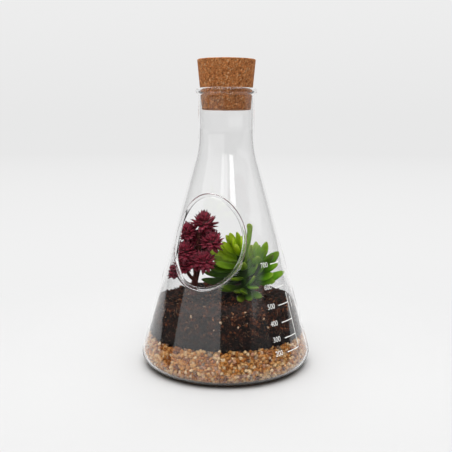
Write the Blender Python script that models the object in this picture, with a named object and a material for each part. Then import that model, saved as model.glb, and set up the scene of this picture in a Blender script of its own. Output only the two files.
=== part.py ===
"""A terrarium: two succulents in soil on gravel, in a corked conical flask with a side opening.

Metres, +Z up. The flask stands on the origin and its side opening faces -Y.
"""

from math import cos, pi, radians, sin, tan

import bmesh
import bpy
import numpy as np
from mathutils import Vector

MM = 0.001
GAP = 0.3 * MM  # between pieces that touch
SEED = 7

# Flask: a one-litre conical flask
FOOT_DIAMETER = 131 * MM
HEEL_RADIUS = 10 * MM
CONE_ANGLE = radians(15.9)  # between the cone's wall and its axis
NECK_DIAMETER = 42 * MM
SHOULDER_RADIUS = 80 * MM  # of the bend from cone to neck
FLASK_HEIGHT = 211 * MM
LIP_DIAMETER = 46 * MM
LIP_ROLL = 2.3 * MM
WALL = 2.0 * MM
NECK_WALL = 1.6 * MM
FLOOR = 2.6 * MM
FLASK_SIDES = 64

# Side opening: its clear outline as seen along Y
OPENING_MIDDLE = 101.2 * MM  # above the table
OPENING_HALF_WIDTH = 25.3 * MM
OPENING_HALF_HEIGHT = 31.7 * MM
OPENING_EGG = 0.04  # share of its width that the upper end loses and the lower end gains
OPENING_STEPS = 56
BEAD_RADIUS = 1.8 * MM
BEAD_SIDES = 8

# Cork
CORK_TOP = 231.8 * MM
CORK_BOTTOM = 195.2 * MM
CORK_TOP_RADIUS = 21.8 * MM
CORK_BOTTOM_RADIUS = 18.4 * MM
CORK_EDGE = 0.8 * MM

# Gravel and soil
GRAVEL_TOP = 25.5 * MM
GRAVEL_WAVE = 0.8 * MM
GRAVEL_ROWS = 9
PEBBLE_RELIEF = 1.4 * MM
SOIL_TOP = 49 * MM
SOIL_ROWS = 8
CLOD_RELIEF = 1.8 * MM
CLOD_SPACING = 2.6 * MM
BED_SIDES = 96
BED_TO_GLASS = 0.4 * MM
HEEL_ROW = 1.2 * MM  # height of the gravel's lowest grains above its flat underside
LEVEL_SHARES = (0.35, 0.7)  # rings of the face between gravel and soil, as shares of its radius
SOIL_SHARES = (0.88, 0.76, 0.64, 0.5, 0.35, 0.18)  # rings of the soil's upper face

# Plants. Their points are in millimetres in a frame turned by PLANT_TURN about Z:
# x to the right, y to the back, z above the table
PLANT_TURN = radians(22)
HOLE_FLOOR = 33.0
HOLE_TOP = 60.0
HOLE_CLEARANCE = 0.5
STEM_END = HOLE_FLOOR + 0.3
STEM_SIDES = 8
LEAF_TO_GLASS = 1.6

BURGUNDY_STEM = (
    (-25.5, 8, STEM_END),
    (-25.5, 8, 52),
    (-24.3, 6, 62),
    (-21.2, 3, 78),
    (-21.5, 1, 95),
    (-18.5, -1, 107),
)
BURGUNDY_STEM_RADII = (2.6, 2.6, 2.5, 2.2, 2.0, 1.8)
BURGUNDY_BRANCH_RADII = (1.5, 1.4, 1.3)
# Each head: the height where its branch leaves the stem, its middle, and its leaves' length
BURGUNDY_HEADS = (
    (102, (-17.7, -1, 109), 10.0),
    (89, (-29.0, 1, 101), 8.5),
    (82, (-10.2, -7, 94.5), 9.0),
    (70, (-28.5, -5, 87), 9.5),
    (72, (-16.5, -12, 81), 9.0),
    (62, (-31.5, -3, 76), 8.5),
    (57, (-39.0, 3, 69), 6.5),
    (76, (-22.0, 11, 88), 8.5),
)
HEAD_CORE = 0.4  # share of the leaves' length
HEAD_SPREAD = radians(115)  # from the head's own direction to its lowest leaves
HEAD_LEAVES_PER_MM = 2.3
BRANCH_SAG = 0.1  # share of a branch's length that its middle hangs below the straight line

GREEN_STEM = ((15.5, 2, STEM_END), (15.5, 2, 52), (15.2, 2, 60), (12.5, 2, 75), (9.5, 3, 87))
GREEN_STEM_RADII = (3.6, 3.6, 3.4, 3.0, 2.2)
GREEN_BRANCH = ((15.3, 2, 56), (20, 1, 67), (25, 0, 77))
GREEN_BRANCH_RADII = (2.8, 2.8, 2.2)
# Each leaf: the height of its root on the stem, its tip, its width, and how many degrees
# its flat side turns from upwards towards the front
GREEN_STEM_LEAVES = (
    (84, (3, 2, 101), 6.5, 75),
    (85, (8.5, 6, 101), 6.5, 75),
    (83, (-3, 0, 94), 6.5, 60),
    (85, (14, 9, 98), 6.0, 40),
    (83, (8, -8, 94), 6.0, 20),
    (79, (-14.5, 5, 86.5), 7.5, 45),
    (74, (-9.6, -6, 79.5), 7.5, 35),
    (69, (-17, 4, 69), 7.5, 45),
    (63, (-19, -5, 65.5), 7.5, 40),
    (60, (-5.5, -14, 60), 7.0, 20),
    (58, (6.7, -14, 58), 6.5, 10),
    (74, (18, 0, 109), 5.5, 80),
    (72, (13, -17, 82), 7.5, 0),
    (66, (2, -15, 70), 7.5, 10),
    (80, (4, 22, 92), 7.0, 0),
    (70, (-4, 20, 76), 7.0, 0),
    (62, (10, 26, 66), 7.0, 0),
)
GREEN_BRANCH_LEAVES = (
    (75, (24, 14, 92), 7.0, 0),
    (76, (32, 5, 93.5), 6.5, 30),
    (75, (34.5, -16, 87.5), 9.5, 0),
    (73, (24, -14, 86), 8.0, 0),
    (70, (37, -12, 77), 7.5, 35),
    (65, (41.5, -3, 74.5), 8.0, 40),
    (62, (23, -18, 62), 8.5, 0),
    (72, (37, 9, 84), 7.5, 0),
    (68, (29, 22, 76), 7.5, 0),
)
GREEN_LEAF_THICKNESS = 3.8
GREEN_LEAF_ARCH = -0.07  # share of its length that a leaf's middle sags
# A leaf's outline: how far along it, and the share of its full width there
SPOON = ((0.0, 0.5), (0.4, 0.7), (0.7, 1.0), (0.92, 0.72))
SPIKE = ((0.0, 0.8), (0.62, 1.0))
SPIKE_WIDTH = 4.2
SPIKE_THICKNESS = 2.0


def clear_scene():
    for thing in list(bpy.data.objects):
        bpy.data.objects.remove(thing, do_unlink=True)


def make_material(name, colour, roughness, transmission=0.0):
    material = bpy.data.materials.new(name)
    material.use_nodes = True
    shader = material.node_tree.nodes["Principled BSDF"]
    shader.inputs["Base Color"].default_value = (*colour, 1)
    shader.inputs["Roughness"].default_value = roughness
    shader.inputs["Transmission Weight"].default_value = transmission
    return material


def add_object(name, mesh, material=None, parent=None):
    if material:
        mesh.materials.append(material)
    made = bpy.data.objects.new(name, mesh)
    bpy.context.scene.collection.objects.link(made)
    made.parent = parent
    return made


def make_cutter(name, mesh, parent=None):
    cutter = add_object(name, mesh, parent=parent)
    cutter.hide_render = True
    cutter.display_type = "WIRE"
    return cutter


def add_boolean(target, other, operation):
    modifier = target.modifiers.new(operation.title(), "BOOLEAN")
    modifier.operation = operation
    modifier.object = other


def shade_round(made):
    made.data.shade_smooth()
    made.data.set_sharp_from_angle(angle=radians(35))


def turned(name, profile, sides, material):
    """Turns a profile of (radius, height) points about Z. Its outer side runs downwards."""
    mesh = bpy.data.meshes.new(name)
    points = [(radius, 0, height) for radius, height in profile]
    mesh.from_pydata(points, [(i, i + 1) for i in range(len(points) - 1)], [])
    made = add_object(name, mesh, material)
    screw = made.modifiers.new("Turn", "SCREW")
    screw.steps = screw.render_steps = sides
    screw.use_merge_vertices = True
    screw.merge_threshold = 0.01 * MM
    screw.use_smooth_shade = True
    return made


def skin(name, rings, first=None, last=None):
    """A closed mesh over rings of points. A point ends it at each end, or else it closes on itself."""
    rings = np.asarray(rings, float)
    count, sides, _ = rings.shape
    points = [tuple(point) for point in rings.reshape(-1, 3)]
    joins = count - 1 if first is not None else count
    faces = []
    for row in range(joins):
        here, above = row * sides, (row + 1) % count * sides
        for i in range(sides):
            j = (i + 1) % sides
            faces.append((here + i, here + j, above + j, above + i))
    if first is not None:
        points += [tuple(first), tuple(last)]
        top = (count - 1) * sides
        for i in range(sides):
            j = (i + 1) % sides
            faces.append((count * sides, j, i))
            faces.append((count * sides + 1, top + i, top + j))
    mesh = bpy.data.meshes.new(name)
    mesh.from_pydata(points, [], faces)
    return mesh


def arc(middle, radius, start, end, steps):
    """Points (radius, height) on an arc, its angles from straight outwards."""
    return [
        (middle[0] + radius * cos(angle), middle[1] + radius * sin(angle))
        for angle in np.linspace(start, end, steps + 1)
    ]


def wall_line(heel_middle, heel_radius, neck_radius, bend):
    """One face of the glass from its foot to its neck: a heel arc, a straight cone and a bend."""
    foot = arc(heel_middle, heel_radius, -pi / 2, 0, 4)
    foot += arc(heel_middle, heel_radius, CONE_ANGLE, CONE_ANGLE, 0)
    meeting = foot[-1][1] + (foot[-1][0] - neck_radius) / tan(CONE_ANGLE)
    level = meeting + bend * tan(CONE_ANGLE / 2)
    return foot + arc((neck_radius + bend, level), bend, pi + CONE_ANGLE, pi, 3)


def outer_line():
    middle = (FOOT_DIAMETER / 2 - HEEL_RADIUS, HEEL_RADIUS)
    return wall_line(middle, HEEL_RADIUS, NECK_DIAMETER / 2, SHOULDER_RADIUS)


def inner_line():
    radius = HEEL_RADIUS - WALL
    middle = (FOOT_DIAMETER / 2 - HEEL_RADIUS, FLOOR + radius)
    return wall_line(middle, radius, NECK_DIAMETER / 2 - NECK_WALL, SHOULDER_RADIUS + WALL)


def radius_on(line, height):
    return np.interp(height, [point[1] for point in line], [point[0] for point in line])


def cork_radius(height):
    return np.interp(height, [CORK_BOTTOM, CORK_TOP], [CORK_BOTTOM_RADIUS, CORK_TOP_RADIUS])


def mouth_points():
    """The inside of the mouth, which widens with the cork's taper, then the rolled lip."""
    neck_inside = NECK_DIAMETER / 2 - NECK_WALL
    taper = (CORK_TOP_RADIUS - CORK_BOTTOM_RADIUS) / (CORK_TOP - CORK_BOTTOM)
    flare_start = CORK_BOTTOM + (neck_inside - GAP - CORK_BOTTOM_RADIUS) / taper
    rim = FLASK_HEIGHT - GAP
    roll_middle = (LIP_DIAMETER / 2 - LIP_ROLL, FLASK_HEIGHT - LIP_ROLL)
    points = [(neck_inside, flare_start), (cork_radius(rim) + GAP, rim)]
    points += arc(roll_middle, LIP_ROLL, pi / 2, -pi / 3, 5)
    return points + [(NECK_DIAMETER / 2, FLASK_HEIGHT - 2.5 * LIP_ROLL)]


def opening_point(turn, outwards):
    """(x, z) on the opening's outline, moved outwards: an ellipse a little narrower at its top."""
    half_width = (OPENING_HALF_WIDTH + outwards) * (1 - OPENING_EGG * sin(turn))
    return half_width * cos(turn), OPENING_MIDDLE + (OPENING_HALF_HEIGHT + outwards) * sin(turn)


def opening_cutter():
    """A prism with the opening's outline that goes through the front wall only."""
    front, back = -FOOT_DIAMETER / 2, -NECK_DIAMETER / 4
    outline = [opening_point(2 * pi * i / OPENING_STEPS, BEAD_RADIUS) for i in range(OPENING_STEPS)]
    rings = [[(x, y, z) for x, z in outline] for y in (back, front)]
    ends = [(0, y, OPENING_MIDDLE) for y in (back, front)]
    return make_cutter("opening_cutter", skin("opening_cutter", rings, *ends))


def bead_path():
    """The middle of the melted bead, halfway through the wall along the cut edge."""
    outside, inside = outer_line(), inner_line()
    path = []
    for i in range(OPENING_STEPS):
        x, z = opening_point(2 * pi * i / OPENING_STEPS, BEAD_RADIUS)
        radius = (radius_on(outside, z) + radius_on(inside, z)) / 2
        path.append(Vector((x, -((radius**2 - x**2) ** 0.5), z)))
    return path


def bead():
    """A round bead along the opening's edge, as a ring of rings."""
    path = bead_path()
    rings = []
    for i, point in enumerate(path):
        along = (path[(i + 1) % len(path)] - path[i - 1]).normalized()
        outwards = Vector((point.x, point.y, 0)).normalized()
        across = along.cross(outwards).normalized()
        outwards = across.cross(along)
        turns = [2 * pi * k / BEAD_SIDES for k in range(BEAD_SIDES)]
        rings.append([point + BEAD_RADIUS * (across * cos(t) + outwards * sin(t)) for t in turns])
    return make_cutter("opening_bead", skin("opening_bead", rings))


def make_flask(glass):
    profile = [(0, FLOOR)] + inner_line() + mouth_points() + outer_line()[::-1] + [(0, 0)]
    flask = turned("glass_flask", profile, FLASK_SIDES, glass)
    add_boolean(flask, opening_cutter(), "DIFFERENCE")
    add_boolean(flask, bead(), "UNION")
    return flask


def make_cork(cork):
    profile = [
        (0, CORK_TOP),
        (CORK_TOP_RADIUS - CORK_EDGE, CORK_TOP),
        (CORK_TOP_RADIUS, CORK_TOP - CORK_EDGE),
        (CORK_BOTTOM_RADIUS, CORK_BOTTOM + CORK_EDGE),
        (CORK_BOTTOM_RADIUS - CORK_EDGE, CORK_BOTTOM),
        (0, CORK_BOTTOM),
    ]
    return turned("cork_stopper", profile, FLASK_SIDES, cork)


def ring(radii, heights):
    """One level ring of a bed, with a radius and a height for each of its points."""
    turns = np.arange(BED_SIDES) * 2 * pi / BED_SIDES
    flat = np.broadcast_to(radii, BED_SIDES)
    return np.stack([flat * np.cos(turns), flat * np.sin(turns), np.broadcast_to(heights, BED_SIDES)], 1)


def grain_rings(bottom, top, rows, relief, draw):
    """The side of a bed, uneven as the grains behind the glass are."""
    inside = inner_line()
    rings = []
    for row in range(rows + 1):
        height = bottom + (top - bottom) * row / rows
        inset = relief * draw.uniform(0, 1, BED_SIDES)
        rings.append(ring(radius_on(inside, height) - BED_TO_GLASS - inset, height))
    return rings


def level_between(share):
    """Height of the face between gravel and soil, at a share of the bed's radius."""
    turns = np.arange(BED_SIDES) * 2 * pi / BED_SIDES
    return GRAVEL_TOP + GRAVEL_WAVE * share * np.sin(3 * turns)


def make_gravel(stones):
    draw = np.random.default_rng(SEED)
    bottom = FLOOR + GAP
    side = grain_rings(bottom + HEEL_ROW, GRAVEL_TOP, GRAVEL_ROWS, PEBBLE_RELIEF, draw)
    side[-1][:, 2] = level_between(1)
    edge = FOOT_DIAMETER / 2 - HEEL_RADIUS
    face = [ring(edge * share, level_between(share)) for share in reversed(LEVEL_SHARES)]
    rings = [ring(edge / 2, bottom), ring(edge, bottom)] + side + face
    mesh = skin("gravel_bed", rings, (0, 0, bottom), (0, 0, GRAVEL_TOP))
    return add_object("gravel_bed", mesh, stones)


def clod_ring(radius, draw):
    """A ring of the soil's upper face, raised into clods about as wide as they are apart."""
    flat = ring(radius, SOIL_TOP)
    waves = np.sin(flat[:, 0] / CLOD_SPACING) * np.cos(flat[:, 1] / CLOD_SPACING + 1)
    flat[:, 2] += CLOD_RELIEF * (0.45 * waves + draw.uniform(-0.15, 0.15, BED_SIDES))
    return flat


def make_soil(earth, plant_frame):
    draw = np.random.default_rng(SEED + 1)
    edge = FOOT_DIAMETER / 2 - HEEL_RADIUS
    below = [ring(edge * share, level_between(share) + GAP) for share in LEVEL_SHARES]
    side = grain_rings(GRAVEL_TOP + GAP, SOIL_TOP, SOIL_ROWS, CLOD_RELIEF, draw)
    side[0][:, 2] = level_between(1) + GAP
    rim = radius_on(inner_line(), SOIL_TOP)
    face = [clod_ring(rim * share, draw) for share in SOIL_SHARES]
    mesh = skin("soil_bed", below + side + face, (0, 0, GRAVEL_TOP + GAP), (0, 0, SOIL_TOP))
    soil = add_object("soil_bed", mesh, earth)
    for name, stem, radii in (
        ("burgundy_hole", BURGUNDY_STEM, BURGUNDY_STEM_RADII),
        ("green_hole", GREEN_STEM, GREEN_STEM_RADII),
    ):
        x, y, _ = stem[0]
        path = [(x, y, HOLE_FLOOR), (x, y, HOLE_TOP)]
        hole = make_cutter(name, tube(name, path, [radii[0] + HOLE_CLEARANCE] * 2), plant_frame)
        add_boolean(soil, hole, "DIFFERENCE")
    return soil


def in_metres(point):
    return Vector(point) * MM


def tube(name, path, radii):
    """A closed tube along a path that climbs, its points and radii in millimetres."""
    path = [in_metres(point) for point in path]
    rings = []
    for i, point in enumerate(path):
        along = (path[min(i + 1, len(path) - 1)] - path[max(i - 1, 0)]).normalized()
        right = Vector((0, 1, 0)).cross(along).normalized()
        back = along.cross(right)
        turns = [2 * pi * k / STEM_SIDES for k in range(STEM_SIDES)]
        rings.append([point + radii[i] * MM * (right * cos(t) + back * sin(t)) for t in turns])
    return skin(name, rings, path[0], path[-1])


def leaf(root, tip, width, thickness, outline, arch, sides, roll=0):
    """A closed leaf from root to tip, with an outline of (share, share of width).

    Its flat side faces up, turned by the roll towards the front.
    """
    along = tip - root
    across = along.cross(Vector((0, 0, 1)))
    if across.length < 0.1 * along.length:
        across = Vector((0, -1, 0))
    if across.y > 0:
        across.negate()
    across.normalize()
    upwards = across.cross(along).normalized()
    if upwards.z < 0:
        upwards.negate()
    across, upwards = across * cos(roll) - upwards * sin(roll), upwards * cos(roll) + across * sin(roll)
    rings = []
    for share, wide in outline:
        middle = root + along * share + upwards * (arch * along.length * 4 * share * (1 - share))
        turns = [2 * pi * (k + 0.5) / sides for k in range(sides)]
        rings.append(
            [middle + wide * (across * cos(t) * width + upwards * sin(t) * thickness) / 2 for t in turns]
        )
    return skin("leaf", rings, root, tip)


def clear_of_glass(point):
    """The point in metres, drawn towards the flask's axis where it would reach the glass."""
    point = in_metres(point)
    most = radius_on(inner_line(), point.z) - LEAF_TO_GLASS * MM
    reach = Vector((point.x, point.y, 0)).length
    if reach > most:
        point.x *= most / reach
        point.y *= most / reach
    return point


def at_height(path, height):
    """The point of a stem's path at this height, in metres."""
    levels = [point[2] for point in path]
    return in_metres([np.interp(height, levels, [point[axis] for point in path]) for axis in range(3)])


def head_pieces(middle, direction, length):
    """A head of pointed leaves round a small core, set by the golden angle."""
    pieces = []
    core = bpy.data.meshes.new("core")
    shape = bmesh.new()
    bmesh.ops.create_icosphere(shape, subdivisions=1, radius=1.25 * HEAD_CORE * length * MM)
    bmesh.ops.translate(shape, verts=shape.verts, vec=middle)
    shape.to_mesh(core)
    shape.free()
    pieces.append(core)
    right = direction.orthogonal().normalized()
    back = direction.cross(right)
    count = round(HEAD_LEAVES_PER_MM * length)
    for k in range(count):
        fall = HEAD_SPREAD * ((k + 0.5) / count) ** 0.6
        turn = k * pi * (3 - 5**0.5)
        way = direction * cos(fall) + (right * cos(turn) + back * sin(turn)) * sin(fall)
        tip = clear_of_glass((middle + way * length * MM) / MM)
        root = middle + way * HEAD_CORE * length * MM / 2
        pieces.append(leaf(root, tip, SPIKE_WIDTH * MM, SPIKE_THICKNESS * MM, SPIKE, 0, 4))
    return pieces


def fuse(name, meshes, material, parent):
    """One body from overlapping closed meshes, by a Boolean union that is applied at once."""
    made = add_object(name, meshes[0], material, parent)
    others = bpy.data.collections.new(name + "_pieces")
    bpy.context.scene.collection.children.link(others)
    for mesh in meshes[1:]:
        piece = bpy.data.objects.new("piece", mesh)
        piece.parent = parent
        others.objects.link(piece)
    union = made.modifiers.new("Union", "BOOLEAN")
    union.operation = "UNION"
    union.operand_type = "COLLECTION"
    union.collection = others
    bpy.context.view_layer.update()
    evaluated = made.evaluated_get(bpy.context.evaluated_depsgraph_get())
    whole = bpy.data.meshes.new_from_object(evaluated)
    made.modifiers.clear()
    made.data = whole
    for piece in list(others.objects):
        bpy.data.objects.remove(piece, do_unlink=True)
    bpy.data.collections.remove(others)
    shade_round(made)
    return made


def make_burgundy(material, plant_frame):
    meshes = [tube("stem", BURGUNDY_STEM, BURGUNDY_STEM_RADII)]
    for height, middle, length in BURGUNDY_HEADS:
        start, end = at_height(BURGUNDY_STEM, height), in_metres(middle)
        elbow = start.lerp(end, 0.5) - Vector((0, 0, BRANCH_SAG)) * (end - start).length
        path = [point / MM for point in (start, elbow, end)]
        meshes.append(tube("branch", path, BURGUNDY_BRANCH_RADII))
        direction = ((end - elbow).normalized() + Vector((0, 0, 0.5))).normalized()
        meshes += head_pieces(end, direction, length)
    return fuse("burgundy_succulent", meshes, material, plant_frame)


def make_green(material, plant_frame):
    meshes = [
        tube("stem", GREEN_STEM, GREEN_STEM_RADII),
        tube("branch", GREEN_BRANCH, GREEN_BRANCH_RADII),
    ]
    for stem, leaves in ((GREEN_STEM, GREEN_STEM_LEAVES), (GREEN_BRANCH, GREEN_BRANCH_LEAVES)):
        for height, tip, width, roll in leaves:
            root, tip = at_height(stem, height), clear_of_glass(tip)
            size = (width * MM, GREEN_LEAF_THICKNESS * MM)
            meshes.append(leaf(root, tip, *size, SPOON, GREEN_LEAF_ARCH, 6, radians(roll)))
    return fuse("green_succulent", meshes, material, plant_frame)


def build():
    clear_scene()
    plant_frame = bpy.data.objects.new("plant_frame", None)
    bpy.context.scene.collection.objects.link(plant_frame)
    plant_frame.rotation_euler.z = PLANT_TURN
    bpy.context.view_layer.update()
    make_flask(make_material("clear glass", (0.95, 0.97, 0.96), 0.02, transmission=1.0))
    make_cork(make_material("pressed cork", (0.43, 0.22, 0.10), 0.8))
    make_gravel(make_material("tan gravel", (0.52, 0.33, 0.18), 0.7))
    make_soil(make_material("dark fibrous soil", (0.028, 0.014, 0.010), 0.95), plant_frame)
    make_burgundy(make_material("burgundy leaves", (0.10, 0.018, 0.030), 0.55), plant_frame)
    make_green(make_material("green leaves", (0.12, 0.28, 0.03), 0.45), plant_frame)


build()
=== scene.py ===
from math import pi, radians

import bmesh
import bpy
import numpy as np
from mathutils import Matrix, Vector


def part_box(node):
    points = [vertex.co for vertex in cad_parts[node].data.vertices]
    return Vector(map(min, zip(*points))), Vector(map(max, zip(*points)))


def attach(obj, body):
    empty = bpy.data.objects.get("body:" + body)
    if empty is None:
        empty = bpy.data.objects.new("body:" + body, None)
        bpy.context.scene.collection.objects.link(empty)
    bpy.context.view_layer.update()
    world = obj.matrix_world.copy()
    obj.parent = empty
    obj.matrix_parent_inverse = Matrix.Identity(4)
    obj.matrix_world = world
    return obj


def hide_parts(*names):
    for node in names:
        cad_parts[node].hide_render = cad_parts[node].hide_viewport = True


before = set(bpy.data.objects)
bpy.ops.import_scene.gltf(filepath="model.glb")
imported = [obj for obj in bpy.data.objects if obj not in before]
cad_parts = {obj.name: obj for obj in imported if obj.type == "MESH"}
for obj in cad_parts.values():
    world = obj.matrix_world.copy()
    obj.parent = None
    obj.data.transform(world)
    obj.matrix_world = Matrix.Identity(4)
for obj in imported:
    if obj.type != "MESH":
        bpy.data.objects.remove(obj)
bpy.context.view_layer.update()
mm = 0.001

# What the picture is taken with. Azimuths are turned from -Y towards +X, as seen from above.
picture = {
    "size": 452,  # pixels, both ways
    "focalLength": 683.5,  # pixels
    "azimuth": radians(22),
    "distance": 520.2 * mm,  # from the flask's axis
    "height": 191.1 * mm,
    "pitch": radians(9.229),  # downwards
    "roll": radians(0.165),
}


# Helpers for materials

def linear(hexColour):
    # an sRGB hex colour as the linear colour that shaders take
    parts = np.array([int(hexColour[i : i + 2], 16) for i in (1, 3, 5)]) / 255
    parts = np.where(parts <= 0.04045, parts / 12.92, ((parts + 0.055) / 1.055) ** 2.4)
    return (*parts.tolist(), 1.0)


def addNode(tree, kind, settings=None, links=None):
    # one node: settings go to its properties, its ramp or its sockets, and links feed its sockets
    node = tree.nodes.new(kind)
    for key, value in (settings or {}).items():
        if key == "stops":
            ramp = node.color_ramp.elements
            while len(ramp) < len(value):
                ramp.new(1.0)
            for stop, (place, colour) in zip(ramp, value):
                stop.position = place
                stop.color = linear(colour)
        elif isinstance(key, str) and hasattr(node, key):
            setattr(node, key, value)
        else:
            node.inputs[key].default_value = value
    for key, source in (links or {}).items():
        tree.links.new(source, node.inputs[key])
    return node


def newMaterial(name):
    # a material with an empty node tree, and its output node
    material = bpy.data.materials.new(name)
    material.use_nodes = True
    material.node_tree.nodes.clear()
    return material, material.node_tree, addNode(material.node_tree, "ShaderNodeOutputMaterial")


# Helpers for shapes

def buildPiece(name, points, faces, material, values=None, sharpAngle=None):
    # a mesh from (n, 3) points in metres and a list of index arrays, with a float attribute for each of values
    mesh = bpy.data.meshes.new(name)
    rows = [row for part in faces for row in np.asarray(part).tolist()]
    mesh.from_pydata(np.asarray(points).tolist(), [], rows)
    mesh.shade_smooth()
    if sharpAngle is not None:
        mesh.set_sharp_from_angle(angle=sharpAngle)
    for key, numbers in (values or {}).items():
        attribute = mesh.attributes.new(key, "FLOAT", "POINT")
        attribute.data.foreach_set("value", np.asarray(numbers, np.float32))
    mesh.materials.append(material)
    piece = bpy.data.objects.new(name, mesh)
    bpy.context.scene.collection.objects.link(piece)
    return piece


def place(piece, slot, *nodes):
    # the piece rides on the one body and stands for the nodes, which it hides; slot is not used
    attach(piece, "root")
    if nodes:
        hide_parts(*nodes)
    print("made", piece.name, len(piece.data.polygons), "faces")


def gridFaces(rows, columns):
    # quads over rows of points that close on themselves, the rows one after another
    row, column = np.meshgrid(np.arange(rows - 1), np.arange(columns), indexing="ij")
    here = row * columns + column
    beside = row * columns + (column + 1) % columns
    return np.stack([here, beside, beside + columns, here + columns], -1).reshape(-1, 4)


def closedGrid(rows, columns):
    # faces of a closed shape: rows of points, then a first and a last point
    first = rows * columns
    here = np.arange(columns)
    beside = (here + 1) % columns
    top = (rows - 1) * columns
    start = np.stack([np.full(columns, first), beside, here], 1)
    end = np.stack([np.full(columns, first + 1), top + here, top + beside], 1)
    return [gridFaces(rows, columns), start, end]


def manyCopies(shapes, faces):
    # shapes (n, v, 3) with the same faces: all points, and the faces of each moved on
    count, each, _ = shapes.shape
    offsets = np.arange(count)[:, None, None] * each
    return shapes.reshape(-1, 3), [(part[None] + offsets).reshape(-1, part.shape[1]) for part in faces]


def ringPoints(radius, height, turns):
    # points at (radius, height), turned to each azimuth
    radius, height, turns = np.broadcast_arrays(radius, height, turns)
    return np.stack([radius * np.sin(turns), -radius * np.cos(turns), height], -1)


def unit(vectors):
    return vectors / np.linalg.norm(vectors, axis=-1, keepdims=True)


def smoothStep(x, low, high):
    share = np.clip((x - low) / (high - low), 0, 1)
    return share * share * (3 - 2 * share)


def waveNoise(points, size, draw, waves=16):
    # a smooth random field of unit spread: a sum of sine waves of about this length, in random directions
    ways = unit(draw.normal(size=(waves, 3)))
    lengths = size * draw.uniform(0.7, 1.6, waves)
    turns = points @ (ways * (2 * pi / lengths[:, None])).T + draw.uniform(0, 2 * pi, waves)
    return np.sin(turns).sum(-1) / np.sqrt(waves / 2)


def nearestCells(points, centres):
    # for each point, its distance to the nearest and the second nearest centre, and which is the nearest
    first, second, which = [], [], []
    for part in np.array_split(points, max(1, len(points) // 3000)):
        square = (part**2).sum(1)[:, None] + (centres**2).sum(1) - 2 * part @ centres.T
        two = np.argpartition(square, 1, axis=1)[:, :2]
        apart = np.sqrt(np.maximum(np.take_along_axis(square, two, 1), 0))
        order = np.argsort(apart, axis=1)
        apart = np.take_along_axis(apart, order, 1)
        first.append(apart[:, 0])
        second.append(apart[:, 1])
        which.append(np.take_along_axis(two, order, 1)[:, 0])
    return np.concatenate(first), np.concatenate(second), np.concatenate(which)


def randomTurns(count, draw):
    # rotation matrices from random unit quaternions
    w, x, y, z = unit(draw.normal(size=(count, 4))).T
    rows = [
        [1 - 2 * (y * y + z * z), 2 * (x * y - z * w), 2 * (x * z + y * w)],
        [2 * (x * y + z * w), 1 - 2 * (x * x + z * z), 2 * (y * z - x * w)],
        [2 * (x * z - y * w), 2 * (y * z + x * w), 1 - 2 * (x * x + y * y)],
    ]
    return np.moveaxis(np.array(rows), -1, 0)


def grain(rows, columns):
    # a unit sphere as rows of latitude and columns of longitude, with its faces
    latitude = np.linspace(0, pi, rows + 2)[1:-1, None]
    longitude = np.arange(columns) * 2 * pi / columns
    sides = np.broadcast_arrays(
        np.sin(latitude) * np.cos(longitude), np.sin(latitude) * np.sin(longitude), -np.cos(latitude)
    )
    points = np.concatenate([np.stack(sides, -1).reshape(-1, 3), [[0, 0, -1], [0, 0, 1]]])
    return points, closedGrid(rows, columns)


def scatterGrains(centres, sizes, flatness, roughness, draw, rows, columns):
    # a grain at each centre: a sphere pushed in and out by waves, flattened, turned at random and scaled
    sphere, faces = grain(rows, columns)
    kinds = 24
    lumps = np.stack([1 + roughness * waveNoise(sphere, 1.7, draw, 6) for _ in range(kinds)])
    kind = draw.integers(0, kinds, len(centres))
    shapes = sphere * lumps[kind][..., None]
    stretch = np.stack([np.ones(len(centres)), draw.uniform(flatness, 1, len(centres)),
                        draw.uniform(flatness * 0.85, 0.9, len(centres))], 1)
    shapes = np.einsum("nij,nvj->nvi", randomTurns(len(centres), draw), shapes * stretch[:, None])
    shapes = centres[:, None] + shapes * sizes[:, None, None] / 2
    return shapes, faces


# Camera

def makeCamera():
    lens = bpy.data.cameras.new("camera")
    lens.sensor_width = 36
    lens.lens = picture["focalLength"] * lens.sensor_width / picture["size"]
    lens.clip_start = 0.02
    camera = bpy.data.objects.new("camera", lens)
    turn = Matrix.Rotation(picture["azimuth"], 4, "Z")
    turn = turn @ Matrix.Rotation(pi / 2 - picture["pitch"], 4, "X")
    turn = turn @ Matrix.Rotation(picture["roll"], 4, "Z")
    where = ringPoints(picture["distance"], picture["height"], picture["azimuth"])
    camera.matrix_world = Matrix.Translation(Vector(where)) @ turn
    bpy.context.scene.collection.objects.link(camera)
    bpy.context.scene.camera = camera


# Studio: a pale sweep behind, a dark room on the camera's side and soft boxes in it.
# Each box: left, right, bottom and top edge in degrees as seen from the flask, azimuths from the camera's,
# how soft its edge is, and how bright it is.
studio = {
    "backdrop": ("#e8e8e8", "#eeeeee"),  # at the horizon, and 10 degrees above it
    "behind": (-218, -142, -90, 60, 18, 0.8),
    "overhead": (-400, 400, 58, 120, 14, 4.6),
    "boxes": (
        (-78, -7.5, 0.5, 34, 1.5, 0.85),
        (-17, 5, 19.5, 34, 3, 1.3),
        (12.5, 28, 20, 38, 1.5, 4.0),
        (37, 68, -30, 34, 4, 0.12),
        (44, 100, 12, 19, 2, 0.5),
        (-400, 400, 40, 58, 8, 0.8),
    ),
    "front": (-95, 95, -30, 60, 30, 0.3),  # lights matt faces only, so the glass doesn't mirror it
    "room": 0.04,
}


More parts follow.
